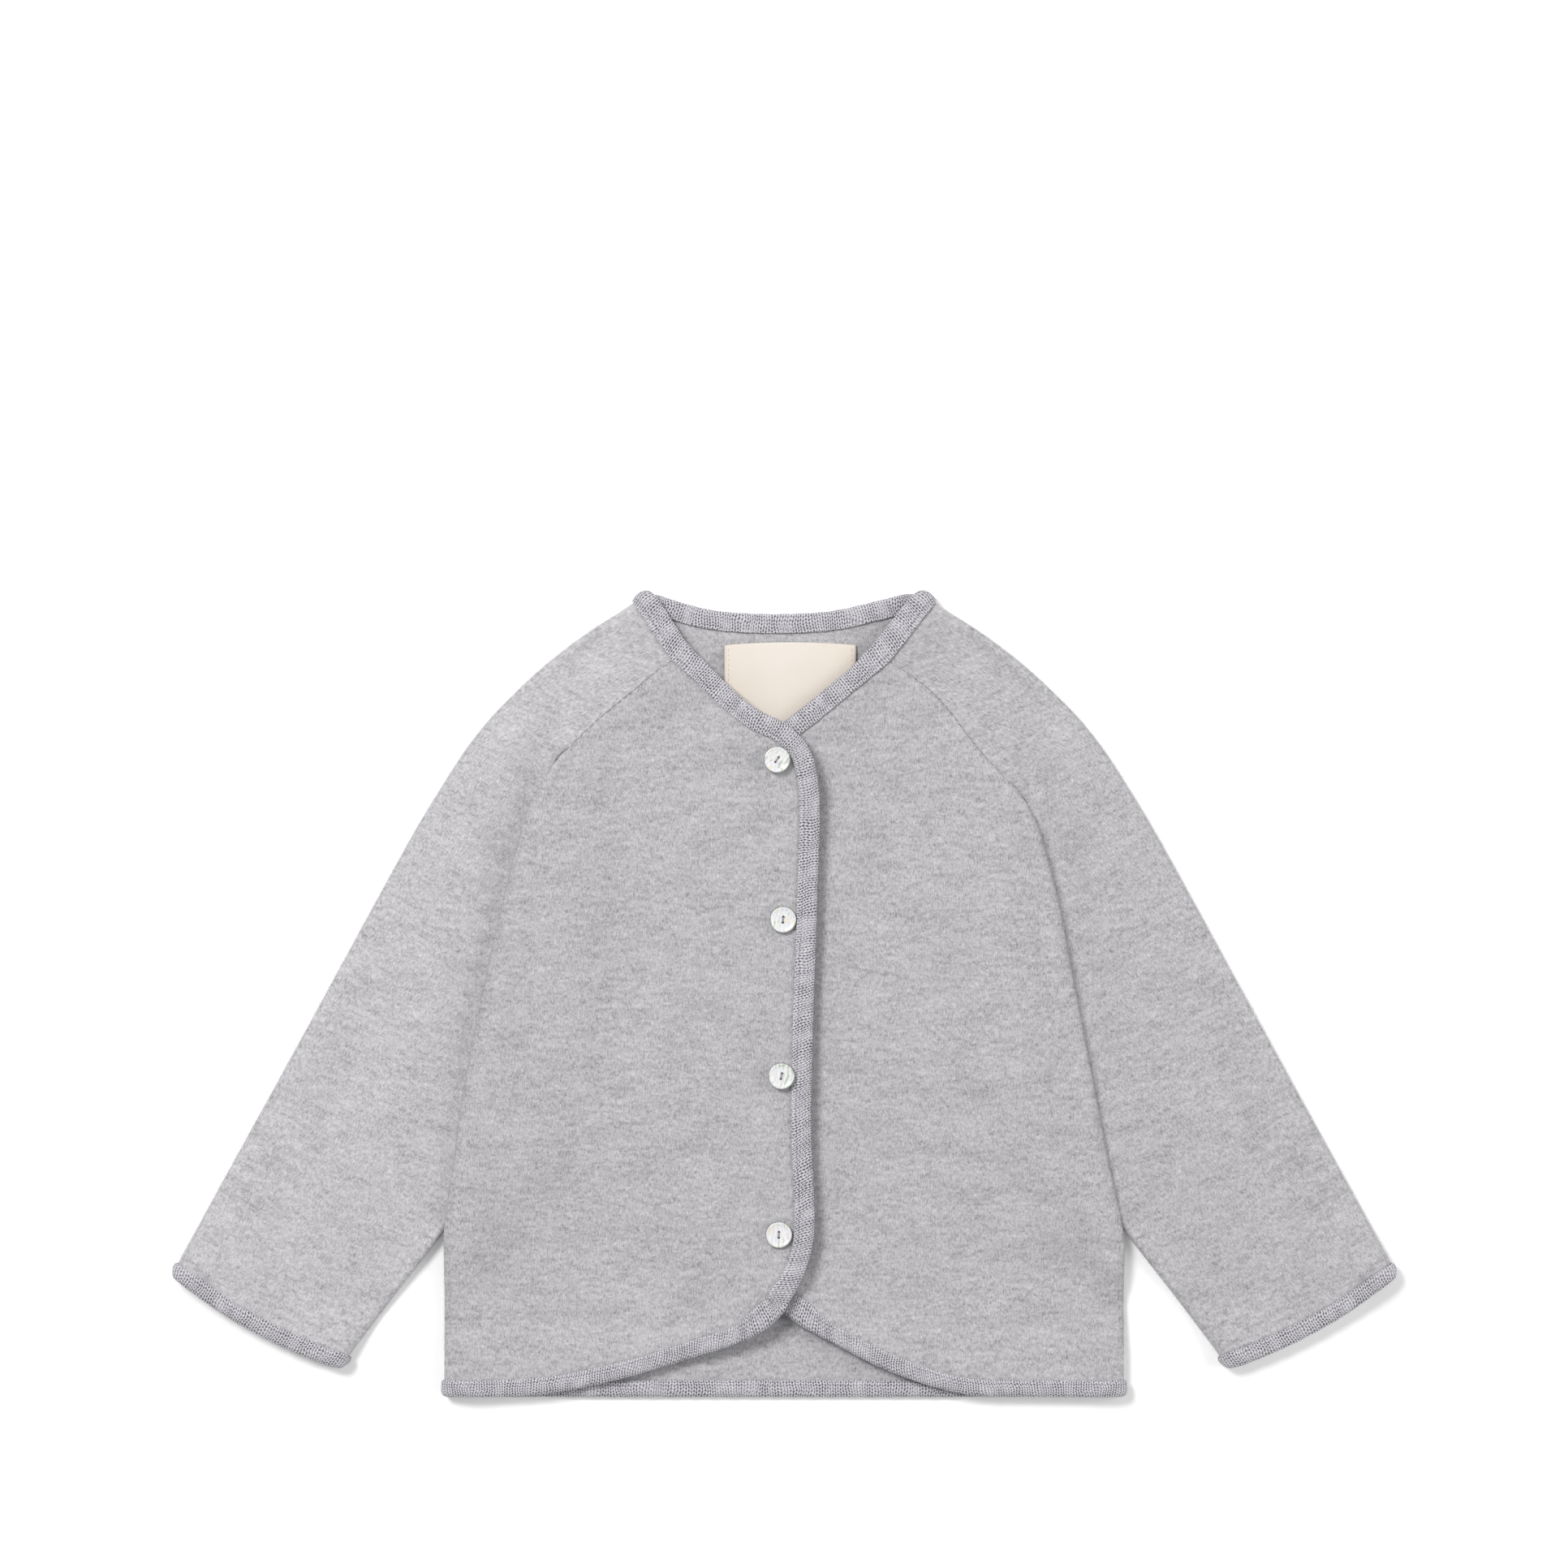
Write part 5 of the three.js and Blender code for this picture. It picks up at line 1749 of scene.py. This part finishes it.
class Nodes:
    """Builds a material's node tree."""

    def __init__(self, name: str) -> None:
        """Starts a material with a bare surface shader.

        Args:
            name: the material's name.
        """
        self.material = bpy.data.materials.new(name)
        self.material.use_nodes = True
        self.tree = self.material.node_tree
        self.shader = self.tree.nodes["Principled BSDF"]

    def add(self, kind: str, inputs: dict | None = None, **settings: object) -> bpy.types.Node:
        """Adds a node.

        Args:
            kind: the node's type.
            inputs: values or sockets for its inputs, by name or number.
            settings: the node's own settings.

        Returns:
            The node.
        """
        node = self.tree.nodes.new(kind)
        for key, value in settings.items():
            setattr(node, key, value)
        for key, value in (inputs or {}).items():
            if isinstance(value, Socket):
                self.tree.links.new(value, node.inputs[key])
            else:
                node.inputs[key].default_value = value
        return node

    def pattern(self, width: float, length: float) -> Socket:
        """Places on the cloth's pattern, in units of a width across and a length along."""
        spot = self.add("ShaderNodeUVMap", uv_map="pattern")
        return self.add("ShaderNodeMapping", {
            "Vector": spot.outputs[0], "Scale": (1 / width, 1 / length, 1)}).outputs[0]

    def noise(
        self, where: Socket, detail: float = 2.0, roughness: float = 0.5,
        distortion: float = 0.0,
    ) -> Socket:
        """A soft random value, about 0.5, at places in units of its own size."""
        return self.add("ShaderNodeTexNoise", {
            "Vector": where, "Scale": 1.0, "Detail": detail, "Roughness": roughness,
            "Distortion": distortion}).outputs[0]

    def waves(
        self, where: Socket, direction: str, distortion: float, detail: float = 2.0,
        scale: float = 1.0,
    ) -> Socket:
        """Soft bands, from 0 to 1."""
        return self.add("ShaderNodeTexWave", {
            "Vector": where, "Scale": scale, "Distortion": distortion, "Detail": detail,
        }, bands_direction=direction).outputs[1]

    def sum(self, *terms: tuple[Socket, float], start: Socket | float = 0.0) -> Socket:
        """The sum of values, each times a weight."""
        for value, weight in terms:
            start = self.math("MULTIPLY_ADD", value, weight, start)
        return start

    def heather(self, *terms: tuple[Socket, float]) -> Socket:
        """Soft random values added up about their middle, each with its weight."""
        return self.sum(*terms, start=0.5 - 0.5 * sum(weight for _, weight in terms))

    def ramp(self, value: Socket, stops: tuple) -> Socket:
        """A colour for each value.

        Args:
            value: the number to look up.
            stops: places and colours, as sRGB shares.

        Returns:
            The colour.
        """
        node = self.add("ShaderNodeValToRGB", {0: value})
        points = node.color_ramp.elements
        while len(points) < len(stops):
            points.new(0.5)
        for point, (place, colour) in zip(points, stops):
            point.position = place
            point.color = (*(linear(c) for c in colour), 1)
        return node.outputs[0]

    def shade(self, by: Socket, colour: Socket) -> Socket:
        """A colour made darker by another."""
        mixed = self.add("ShaderNodeMix", {0: 1.0, 6: by, 7: colour},
                         data_type="RGBA", blend_type="MULTIPLY")
        return mixed.outputs[2]

    def math(self, operation: str, *values: Socket | float) -> Socket:
        """A number worked out from others."""
        return self.add("ShaderNodeMath", dict(enumerate(values)), operation=operation).outputs[0]

    def both(self, first: Socket, second: Socket | float) -> Socket:
        """The product of two numbers."""
        return self.math("MULTIPLY", first, second)

    def rest(self, share: Socket) -> Socket:
        """What a share leaves of one."""
        return self.math("SUBTRACT", 1.0, share)

    def bump(self, height: Socket, distance: float) -> None:
        """Gives the shader a relief of a real height."""
        node = self.add("ShaderNodeBump", {"Height": height, "Distance": distance, "Strength": 1.0})
        self.tree.links.new(node.outputs[0], self.shader.inputs["Normal"])

    def colour(self, socket: Socket) -> None:
        """Gives the shader its colour."""
        self.tree.links.new(socket, self.shader.inputs["Base Color"])

    def constants(self, **values: float) -> None:
        """Sets values that are the same all over, on the shader's own sockets."""
        for name, value in values.items():
            self.shader.inputs[name.replace("_", " ")].default_value = value


def linear(share: float) -> float:
    """A display share of light as a linear one."""
    return share / 12.92 if share <= 0.04045 else ((share + 0.055) / 1.055) ** 2.4


def grey(level: float, warm: float = 0.0, green: float = 0.0) -> tuple[float, float, float]:
    """A slightly lilac grey, given by its display level from 0 to 255."""
    return tuple((level + tint) / 255 for tint in (0.7 + warm, -1.2 + green, 1.7 - warm))


@dataclass(frozen=True)
class Fluff:
    """One layer of soft unevenness in a finish: its size across and along, and how strong it is."""

    size: tuple[float, float]
    weight: float
    detail: float = 2.0
    roughness: float = 0.5
    distortion: float = 0.0
    relief: float = 0.0

    def on(self, make: Nodes) -> Socket:
        """The layer's value in a material, about 0.5."""
        return make.noise(make.pattern(*self.size), self.detail, self.roughness, self.distortion)


@dataclass(frozen=True)
class HeatherJersey:
    """Brushed heather jersey: pale and dark fibres, streaks across the cloth, a soft nap."""

    name: str = "heather_jersey"
    fibres: Fluff = Fluff((0.4 * MM, 2.4 * MM), 1.12, 3, 0.6, 0.5, relief=0.6)
    grains: Fluff = Fluff((0.7 * MM, 1.1 * MM), 1.12, 3, 0.65, 0.3, relief=0.7)
    tufts: Fluff = Fluff((2.0 * MM, 1.7 * MM), 0.72, 2, 0.55, 0.6, relief=0.4)
    streaks: Fluff = Fluff((6.5 * MM, 2.2 * MM), 0.62, 3, 0.55, 0.6)
    clouds: Fluff = Fluff((24 * MM, 9 * MM), 0.36, 3, 0.5, 0.4)
    relief: float = 0.2 * MM
    levels: Rows = ((0.0, 128), (0.34, 164), (0.5, 179), (0.68, 191), (1.0, 211))
    # A shift of every level of the ramp; the right sleeve's larger shift is painted light.
    tone: float = 0.0

    def material(self) -> Finish:
        """The finish as a material."""
        make = Nodes(self.name)
        fluffs = (self.fibres, self.grains, self.tufts, self.streaks, self.clouds)
        layers = [(fluff, fluff.on(make)) for fluff in fluffs]
        tone = make.heather(*((value, fluff.weight) for fluff, value in layers))
        stops = tuple((place, grey(level + self.tone)) for place, level in self.levels)
        make.colour(make.ramp(tone, stops))
        raised = ((value, fluff.relief) for fluff, value in layers if fluff.relief)
        make.bump(make.heather(*raised), self.relief)
        make.constants(
            Roughness=0.95, Sheen_Weight=0.22, Sheen_Roughness=0.55, Specular_IOR_Level=0.2)
        return make.material


@dataclass(frozen=True)
class BindingKnit:
    """The binding's melange yarn, with painted shade in the holes between V stitches, more open in
    some zones, and painted light on the raised strands.
    """

    name: str = "binding_knit"
    wale: float = 2.3 * MM
    course: float = 1.45 * MM
    slant: float = 0.5
    sway_size: float = 5.0
    sway: tuple[float, float] = (1.5, 1.8)
    strand_low: float = 0.4
    yarn: Fluff = Fluff((0.5 * MM, 0.5 * MM), 1.2, 3, 0.65, 0.5, relief=0.5)
    patches: Fluff = Fluff((5 * MM, 4 * MM), 0.4)
    zone: Fluff = Fluff((6 * MM, 14 * MM), 5.0, 1)
    zone_start: float = -1.6
    least_open: float = 0.3
    most_open: float = 1.35
    hole_edge: float = 1.3
    hole_depth: float = 0.95
    rib_weight: float = 0.8
    strand_weight: float = 0.5
    lift: float = 0.1
    strand_relief: float = 0.8
    relief: float = 0.2 * MM

    def stitches(self, make: Nodes) -> tuple[Socket, Socket]:
        """Plain knit, in columns of V stitches across the strip.

        Args:
            make: the material that it is part of.

        Returns:
            The height, 0 to 1, of the strands, and how much of a hole there is, 0 to 1.
        """
        size = self.sway_size
        sway = make.noise(make.pattern(size * self.wale, size * self.course), 1)
        place = make.add("ShaderNodeSeparateXYZ", {0: make.pattern(self.wale, self.course)})
        column, row = (
            make.math("MULTIPLY_ADD", sway, amount, place.outputs[k])
            for k, amount in enumerate(self.sway)
        )
        across = make.both(make.math("PINGPONG", column, 0.5), 2.0)
        leg = make.both(make.both(across, make.rest(across)), 4.0)
        phase = make.both(make.math("MULTIPLY_ADD", across, self.slant, row), 2 * math.pi)
        wave = make.math("MULTIPLY_ADD", make.math("COSINE", phase), 0.5, 0.5)
        hole = make.both(make.rest(leg), make.rest(wave))
        low = self.strand_low
        return make.both(leg, make.math("MULTIPLY_ADD", wave, 1 - low, low)), hole

    def material(self) -> Finish:
        """The finish as a material."""
        make = Nodes(self.name)
        yarn, patches, zone = (fluff.on(make) for fluff in (self.yarn, self.patches, self.zone))
        # ribs: the painted shade of the knit's relief, stored on the binding's points.
        ribs = make.add("ShaderNodeAttribute", attribute_name="yarn_light").outputs["Fac"]
        strand, hole = self.stitches(make)
        opened = make.math("MULTIPLY_ADD", zone, self.zone.weight, self.zone_start)
        opened = make.math("MAXIMUM", opened, self.least_open)
        opened = make.math("MINIMUM", opened, self.most_open)
        # Painted shade in the stitches' holes and painted light on their raised strands, added to the
        # yarn's own heather.
        dark = make.both(make.math("POWER", hole, self.hole_edge), opened)
        tone = make.heather(
            (yarn, self.yarn.weight), (patches, self.patches.weight), (ribs, self.rib_weight),
            (strand, self.strand_weight))
        tone = make.sum((dark, -self.hole_depth), start=make.math("ADD", tone, self.lift))
        make.colour(make.ramp(tone, (
            (0.0, grey(88, -2, -3)), (0.25, grey(134, -2, -3)), (0.5, grey(178, -1.5, -1.5)),
            (0.7, grey(200, -1, -1)), (0.95, grey(222)),
        )))
        raised = make.heather((strand, self.strand_relief), (yarn, self.yarn.relief))
        make.bump(make.sum((dark, -self.strand_relief), start=raised), self.relief)
        make.constants(
            Roughness=0.93, Sheen_Weight=0.15, Sheen_Roughness=0.5, Specular_IOR_Level=0.25)
        return make.material


@dataclass(frozen=True)
class LabelTape:
    """Cream woven tape, warmer towards its sides and foot."""

    name: str = "cream_tape"
    centre: tuple[float, float] = (-2 * MM, 138 * MM)
    thread: float = 0.42 * MM
    crooked: float = 0.6
    relief: float = 0.06 * MM
    patches: Fluff = Fluff((14 * MM, 10 * MM), 0.3)
    side_warmth: float = 14.0
    foot_warmth: float = 7.0
    start: float = -0.1

    def material(self) -> Finish:
        """The finish as a material."""
        make = Nodes(self.name)
        weave, threads = (
            make.waves(make.pattern(self.thread, self.thread), way, self.crooked, 1.0)
            for way in ("X", "Y")
        )
        place = make.add("ShaderNodeSeparateXYZ", {0: make.pattern(1.0, 1.0)})
        side = make.math("ABSOLUTE", make.math("ADD", place.outputs[0], -self.centre[0]))
        low = make.math("SUBTRACT", self.centre[1], place.outputs[1])
        warmth = make.sum(
            (side, self.side_warmth), (low, self.foot_warmth),
            (self.patches.on(make), self.patches.weight), start=self.start)
        make.colour(make.ramp(warmth, (
            (0.0, (0.968, 0.935, 0.895)), (0.4, (0.955, 0.915, 0.865)),
            (0.85, (0.93, 0.86, 0.785)),
        )))
        make.bump(make.sum((weave, 0.5), (threads, 0.5)), self.relief)
        make.constants(Roughness=0.72, Sheen_Weight=0.1, Specular_IOR_Level=0.35)
        return make.material


@dataclass(frozen=True)
class MotherOfShell:
    """White shell with soft patches of pink, green and blue, well polished, with painted shade
    darkening its rim.
    """

    name: str
    seed: float
    fineness: float = 150.0
    layer_weight: float = 1.9
    band_weight: float = 0.4

    def material(self) -> Finish:
        """The finish as a material."""
        make = Nodes(self.name)
        spot = make.add("ShaderNodeUVMap", uv_map="pattern").outputs[0]
        moved = make.add("ShaderNodeMapping", {
            "Vector": spot, "Location": (self.seed, 2 * self.seed, self.seed),
            "Scale": (self.fineness,) * 3,
        }).outputs[0]
        layers = make.noise(moved, distortion=1.2)
        bands = make.waves(moved, "X", distortion=5.0, scale=1.1)
        tone = make.heather((layers, self.layer_weight), (bands, self.band_weight))
        radius = make.add("ShaderNodeVectorMath", {0: spot}, operation="LENGTH").outputs["Value"]
        # Painted shade: the colour darkens over the outermost rim of the button.
        rim = make.ramp(make.both(radius, 0.1 / MM), (
            (0.51, (1, 1, 1)), (0.545, (0.84, 0.86, 0.84)), (0.57, (0.5, 0.53, 0.5)),
        ))
        make.colour(make.shade(rim, make.ramp(tone, (
            (0.05, (0.74, 0.77, 0.74)), (0.28, (0.86, 0.88, 0.85)), (0.44, (0.94, 0.94, 0.92)),
            (0.56, (0.95, 0.91, 0.94)), (0.72, (0.83, 0.87, 0.92)), (0.92, (0.93, 0.89, 0.78)),
        ))))
        make.constants(Roughness=0.28, Coat_Weight=0.5, Coat_Roughness=0.12, Specular_IOR_Level=0.5)
        return make.material


@dataclass(frozen=True)
class SewingThread:
    """Twisted sewing thread, or a single fibre, of a grey level and a warmth."""

    name: str = "grey_thread"
    level: float = 160
    warm: float = 0.0
    twist: float = 0.5 * MM
    relief: float = 0.04 * MM
    darker: float = 30
    paler: float = 25

    def material(self) -> Finish:
        """The finish as a material."""
        make = Nodes(self.name)
        twist = make.waves(make.pattern(self.twist, self.twist), "DIAGONAL", 1.0)
        make.colour(make.ramp(twist, (
            (0.1, grey(self.level - self.darker, self.warm)),
            (0.8, grey(self.level + self.paler, self.warm)),
        )))
        make.bump(twist, self.relief)
        make.constants(Roughness=0.8, Specular_IOR_Level=0.3)
        return make.material


@dataclass(frozen=True)
class SoftLight:
    """A square area light that looks at the middle of the table: its place, side and power."""

    name: str
    place: tuple[float, float, float]
    size: float
    watts: float

    def hang(self) -> None:
        """Adds the light to the scene."""
        lamp = bpy.data.lights.new(self.name, "AREA")
        lamp.shape, lamp.size, lamp.energy = "SQUARE", self.size, self.watts
        hung = bpy.data.objects.new(self.name, lamp)
        hung.location = self.place
        hung.rotation_euler = (-Vector(self.place)).to_track_quat("-Z", "Y").to_euler()
        bpy.context.scene.collection.objects.link(hung)


@dataclass
class Studio:
    """The table, the light and the camera above."""

    camera_spot: tuple[float, float] = (-0.2 * MM, 89.5 * MM)
    camera_height: float = 2.4
    frame_width: float = 675.5 * MM
    sensor: float = 36.0
    far_end: float = 50.0
    floor_size: float = 9.0
    floor_grain: Fluff = Fluff((40 * MM, 40 * MM), 1.0)
    floor_glow: float = 0.1
    key: SoftLight = SoftLight("key", (-1.25, 1.2, 2.3), 0.9, 56.0)
    fill: SoftLight = SoftLight("fill", (1.9, 0.2, 1.3), 1.3, 17.92)
    sky_strength: float = 0.42

    def floor(self) -> None:
        """Lays the plain pale table."""
        half = self.floor_size / 2
        spots = np.array([(-half, -half, 0), (half, -half, 0), (half, half, 0), (-half, half, 0)])
        table = new_piece("table", spots, [[0, 1, 2, 3]], spots[:, :2])
        make = Nodes("pale_table")
        make.colour(make.ramp(self.floor_grain.on(make), (
            (0.3, (0.985, 0.985, 0.985)), (0.7, (0.995, 0.995, 0.995)),
        )))
        make.constants(Roughness=0.9, Specular_IOR_Level=0.0, Emission_Strength=self.floor_glow)
        table.data.materials.append(make.material)

    def lights(self) -> None:
        """A key from the upper left, a fill from the right, and light all round."""
        self.key.hang()
        self.fill.hang()
        world = bpy.data.worlds.new("studio")
        world.use_nodes = True
        sky = world.node_tree.nodes["Background"]
        sky.inputs[0].default_value = (1, 1, 1, 1)
        sky.inputs[1].default_value = self.sky_strength
        bpy.context.scene.world = world
        bpy.context.scene.view_settings.view_transform = "Standard"

    def camera(self) -> None:
        """The camera straight above."""
        eye = bpy.data.cameras.new("above")
        eye.sensor_width = self.sensor
        eye.lens = self.sensor * self.camera_height / self.frame_width
        eye.clip_end = self.far_end
        stand = bpy.data.objects.new("above", eye)
        stand.location = (*self.camera_spot, self.camera_height)
        bpy.context.scene.collection.objects.link(stand)
        bpy.context.scene.camera = stand


@dataclass(frozen=True)
class Cut:
    """How a sheet of cloth was cut: its flat size in metres, and the piece that it lies on."""

    sheet: str
    piece: str
    flat: tuple[float, float]
    below: str


CUTS = (
    Cut("back", "back_cloth", (0.300, 0.345), "table"),
    Cut("sleeve_right", "sleeve_right_cloth", (0.240, 0.345), "table"),
    Cut("sleeve_left", "sleeve_left_cloth", (0.240, 0.345), "table"),
    Cut("front_left", "front_left_cloth", (0.165, 0.325), "back_cloth"),
    Cut("front_right", "front_right_cloth", (0.165, 0.325), "front_left_cloth"),
    Cut("label", "label_tape", (0.056, 0.038), "back_cloth"),
)


@dataclass
class Cardigan:
    button_turns: tuple[float, ...] = (35, 5, 12, 3)
    button_seed: float = 3.7
    pieces: dict[str, Piece] = field(default_factory=dict)
    sheets: dict[str, ClothSheet] = field(default_factory=dict)

    def __post_init__(self) -> None:
        """Makes the finishes that several pieces share."""
        self.jersey = HeatherJersey(tone=1.0).material()
        # The right sleeve's jersey is painted 8 levels paler: painted light, as if that sleeve caught
        # more of the key light.
        self.sleeve_jersey = {
            Side.RIGHT: HeatherJersey("heather_jersey_pale", tone=8.0).material(),
            Side.LEFT: self.jersey,
        }
        self.knit = BindingKnit().material()
        self.thread = SewingThread().material()

    def keep(self, piece: Piece, finish: Finish, slot: str, *nodes: str) -> None:
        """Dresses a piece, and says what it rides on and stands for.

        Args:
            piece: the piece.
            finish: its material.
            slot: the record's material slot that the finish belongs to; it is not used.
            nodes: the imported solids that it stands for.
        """
        piece.data.materials.clear()
        piece.data.materials.append(finish)
        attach(piece, "root")
        if nodes:
            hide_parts(*nodes)
        self.pieces[piece.name] = piece
        LOG.info("%s: %d faces", piece.name, len(piece.data.polygons))

    def lay(self, name: str, cloth: ClothSheet, finish: Finish) -> None:
        """Lays a panel of jersey."""
        self.sheets[name] = cloth
        self.keep(cloth.build(name + "_cloth"), finish, "grey_jersey", name)

    def bind(self, node: str, strip: Strip, trim: float = GAP / 2) -> None:
        """Sews a knit binding over a strip of edge, short of its ends by the trim."""
        binding = KnitBinding(node + "_knit", strip, trim)
        self.keep(binding.build(), self.knit, "grey_rib_knit", node)

    def low_strip(self, name: str) -> Strip:
        """The strip at the first row of a sheet, all across it."""
        cloth = self.sheets[name]
        return Strip.between(cloth, 0, cloth.kept_rows[1], range(cloth.grid.shape[1]))

    def high_strip(self, name: str) -> Strip:
        """The strip at the last row of a sheet, all across it."""
        cloth = self.sheets[name]
        rows, columns = cloth.grid.shape[:2]
        return Strip.between(cloth, rows - 1, cloth.kept_rows[-2], range(columns))

    def neck_strip(self, name: str, low: int, high: int) -> Strip:
        """The part of a sleeve's neck edge between two of its coarse columns."""
        cloth = self.sheets[name]
        columns = range(cloth.kept_columns[low], cloth.kept_columns[high] + 1)
        return Strip.between(cloth, 0, cloth.kept_rows[1], columns)

    def lay_back(self) -> None:
        """The back and the binding of its hem."""
        self.lay("back", BackPanel().sheet(), self.jersey)
        self.bind("binding_back_hem", self.low_strip("back"), 0)

    def lay_sleeves(self) -> None:
        """Both sleeves and their cuffs."""
        coarse_back = BackPanel().coarse()
        for lines in (RIGHT_LINES, LEFT_LINES):
            sleeve = Sleeve(lines, coarse_back, creases=SLEEVE_CREASES[lines.side])
            self.lay(sleeve.name, sleeve.sheet(), self.sleeve_jersey[lines.side])
            self.bind(f"cuff_binding_{lines.side.label}", self.high_strip(sleeve.name), GAP)

    def bind_back_neck(self) -> None:
        """The binding of the back neck, from shoulder to shoulder."""
        right, left = (
            self.neck_strip(name, SLEEVE_APEX, NECK_BACK_COLUMN)
            for name in ("sleeve_right", "sleeve_left")
        )
        middle = self.high_strip("back").flipped()
        self.bind("binding_back_neck", right.then(middle).then(left.reversed()))

    def lay_fronts(self) -> None:
        """Both fronts with the bindings round their edges and over the shoulders."""
        for lines in (LEFT_LINES, RIGHT_LINES):
            panel = FrontPanel(lines, creases=FRONT_CREASES[lines.side])
            cloth = panel.sheet()
            self.lay(panel.name, cloth, self.jersey)
            row, column = cloth.kept_rows[1], cloth.kept_columns[-2]
            rows, columns = cloth.grid.shape[:2]
            edges = [(0, i) for i in range(columns)] + [(j, columns - 1) for j in range(1, rows)]
            seams = [(max(row, j), min(i, column)) for j, i in edges]
            shoulder = self.neck_strip(
                f"sleeve_{lines.side.label}", NECK_FRONT_COLUMN, SLEEVE_APEX)
            strip = Strip.on(cloth, edges, seams).then(shoulder)
            self.bind(f"binding_front_{lines.side.label}", strip)

    def brush(self) -> None:
        """The nap that shows against the table and over the folds."""
        finish = SewingThread("nap_fibre", 196).material()
        for name, sheet in self.sheets.items():
            if name.startswith("sleeve"):
                apex = sheet.kept_columns[SLEEVE_APEX]
                columns = (0, apex - 1, apex, apex + 1)
            elif name.startswith("front"):
                columns = (0, 1, 2)
            else:
                continue
            nap = Nap(f"{name}_nap", seed=len(name))
            rows = sheet.kept_rows[2], sheet.kept_rows[-2]
            self.keep(nap.build(sheet, columns, rows), finish, "grey_jersey")

    def sew_label(self) -> None:
        """The label inside the back neck, and its stitches."""
        label = NeckLabel()
        self.sheets["label"] = label.sheet()
        tape = self.sheets["label"].build("label_tape")
        self.keep(tape, LabelTape().material(), "cream_label", "label")
        pink = SewingThread("pink_thread", 205, 12).material()
        row = StitchRow("label_stitches", 1.5 * MM, 2.1 * MM, 0.15 * MM)
        self.keep(row.label(label), pink, "cream_label")

    def sew_raglans(self) -> None:
        """The stitches that show in both raglan seams, in thread darker than the cloth: partly the
        thread's own colour, partly painted shade of the seam's groove.
        """
        # The thread's dark level stands partly for the painted shade of the seam's groove.
        dark = SewingThread("seam_thread", 150).material()
        for lines in (RIGHT_LINES, LEFT_LINES):
            row = StitchRow(f"raglan_stitches_{lines.side.label}")
            self.keep(row.raglan(lines), dark, "grey_jersey")

    def sew_buttons(self) -> None:
        """The four buttons, each with its thread."""
        for k, turn in enumerate(self.button_turns, 1):
            button = ShellButton(f"button_{k}", turn)
            shell = MotherOfShell(f"shell_{k}", self.button_seed * k).material()
            self.keep(button.build(), shell, "shell_button", button.name)
            self.keep(button.thread(), self.thread, "shell_button")

    def declare(self) -> None:
        """Logs the area of one layer of each sheet, no more than its cut size."""
        for cut in CUTS:
            area = min(self.sheets[cut.sheet].area(), cut.flat[0] * cut.flat[1])
            LOG.info("%s: one layer is %.4f m2", cut.sheet, area)


def main() -> None:
    """Builds the garment and the studio."""
    logging.basicConfig(level=logging.INFO, format="%(name)s: %(message)s")
    cardigan = Cardigan()
    cardigan.lay_back()
    cardigan.sew_label()
    cardigan.lay_sleeves()
    cardigan.bind_back_neck()
    cardigan.lay_fronts()
    cardigan.sew_raglans()
    cardigan.brush()
    cardigan.sew_buttons()
    cardigan.declare()
    studio = Studio()
    studio.floor()
    studio.lights()
    studio.camera()


if __name__ == "__main__":
    main()
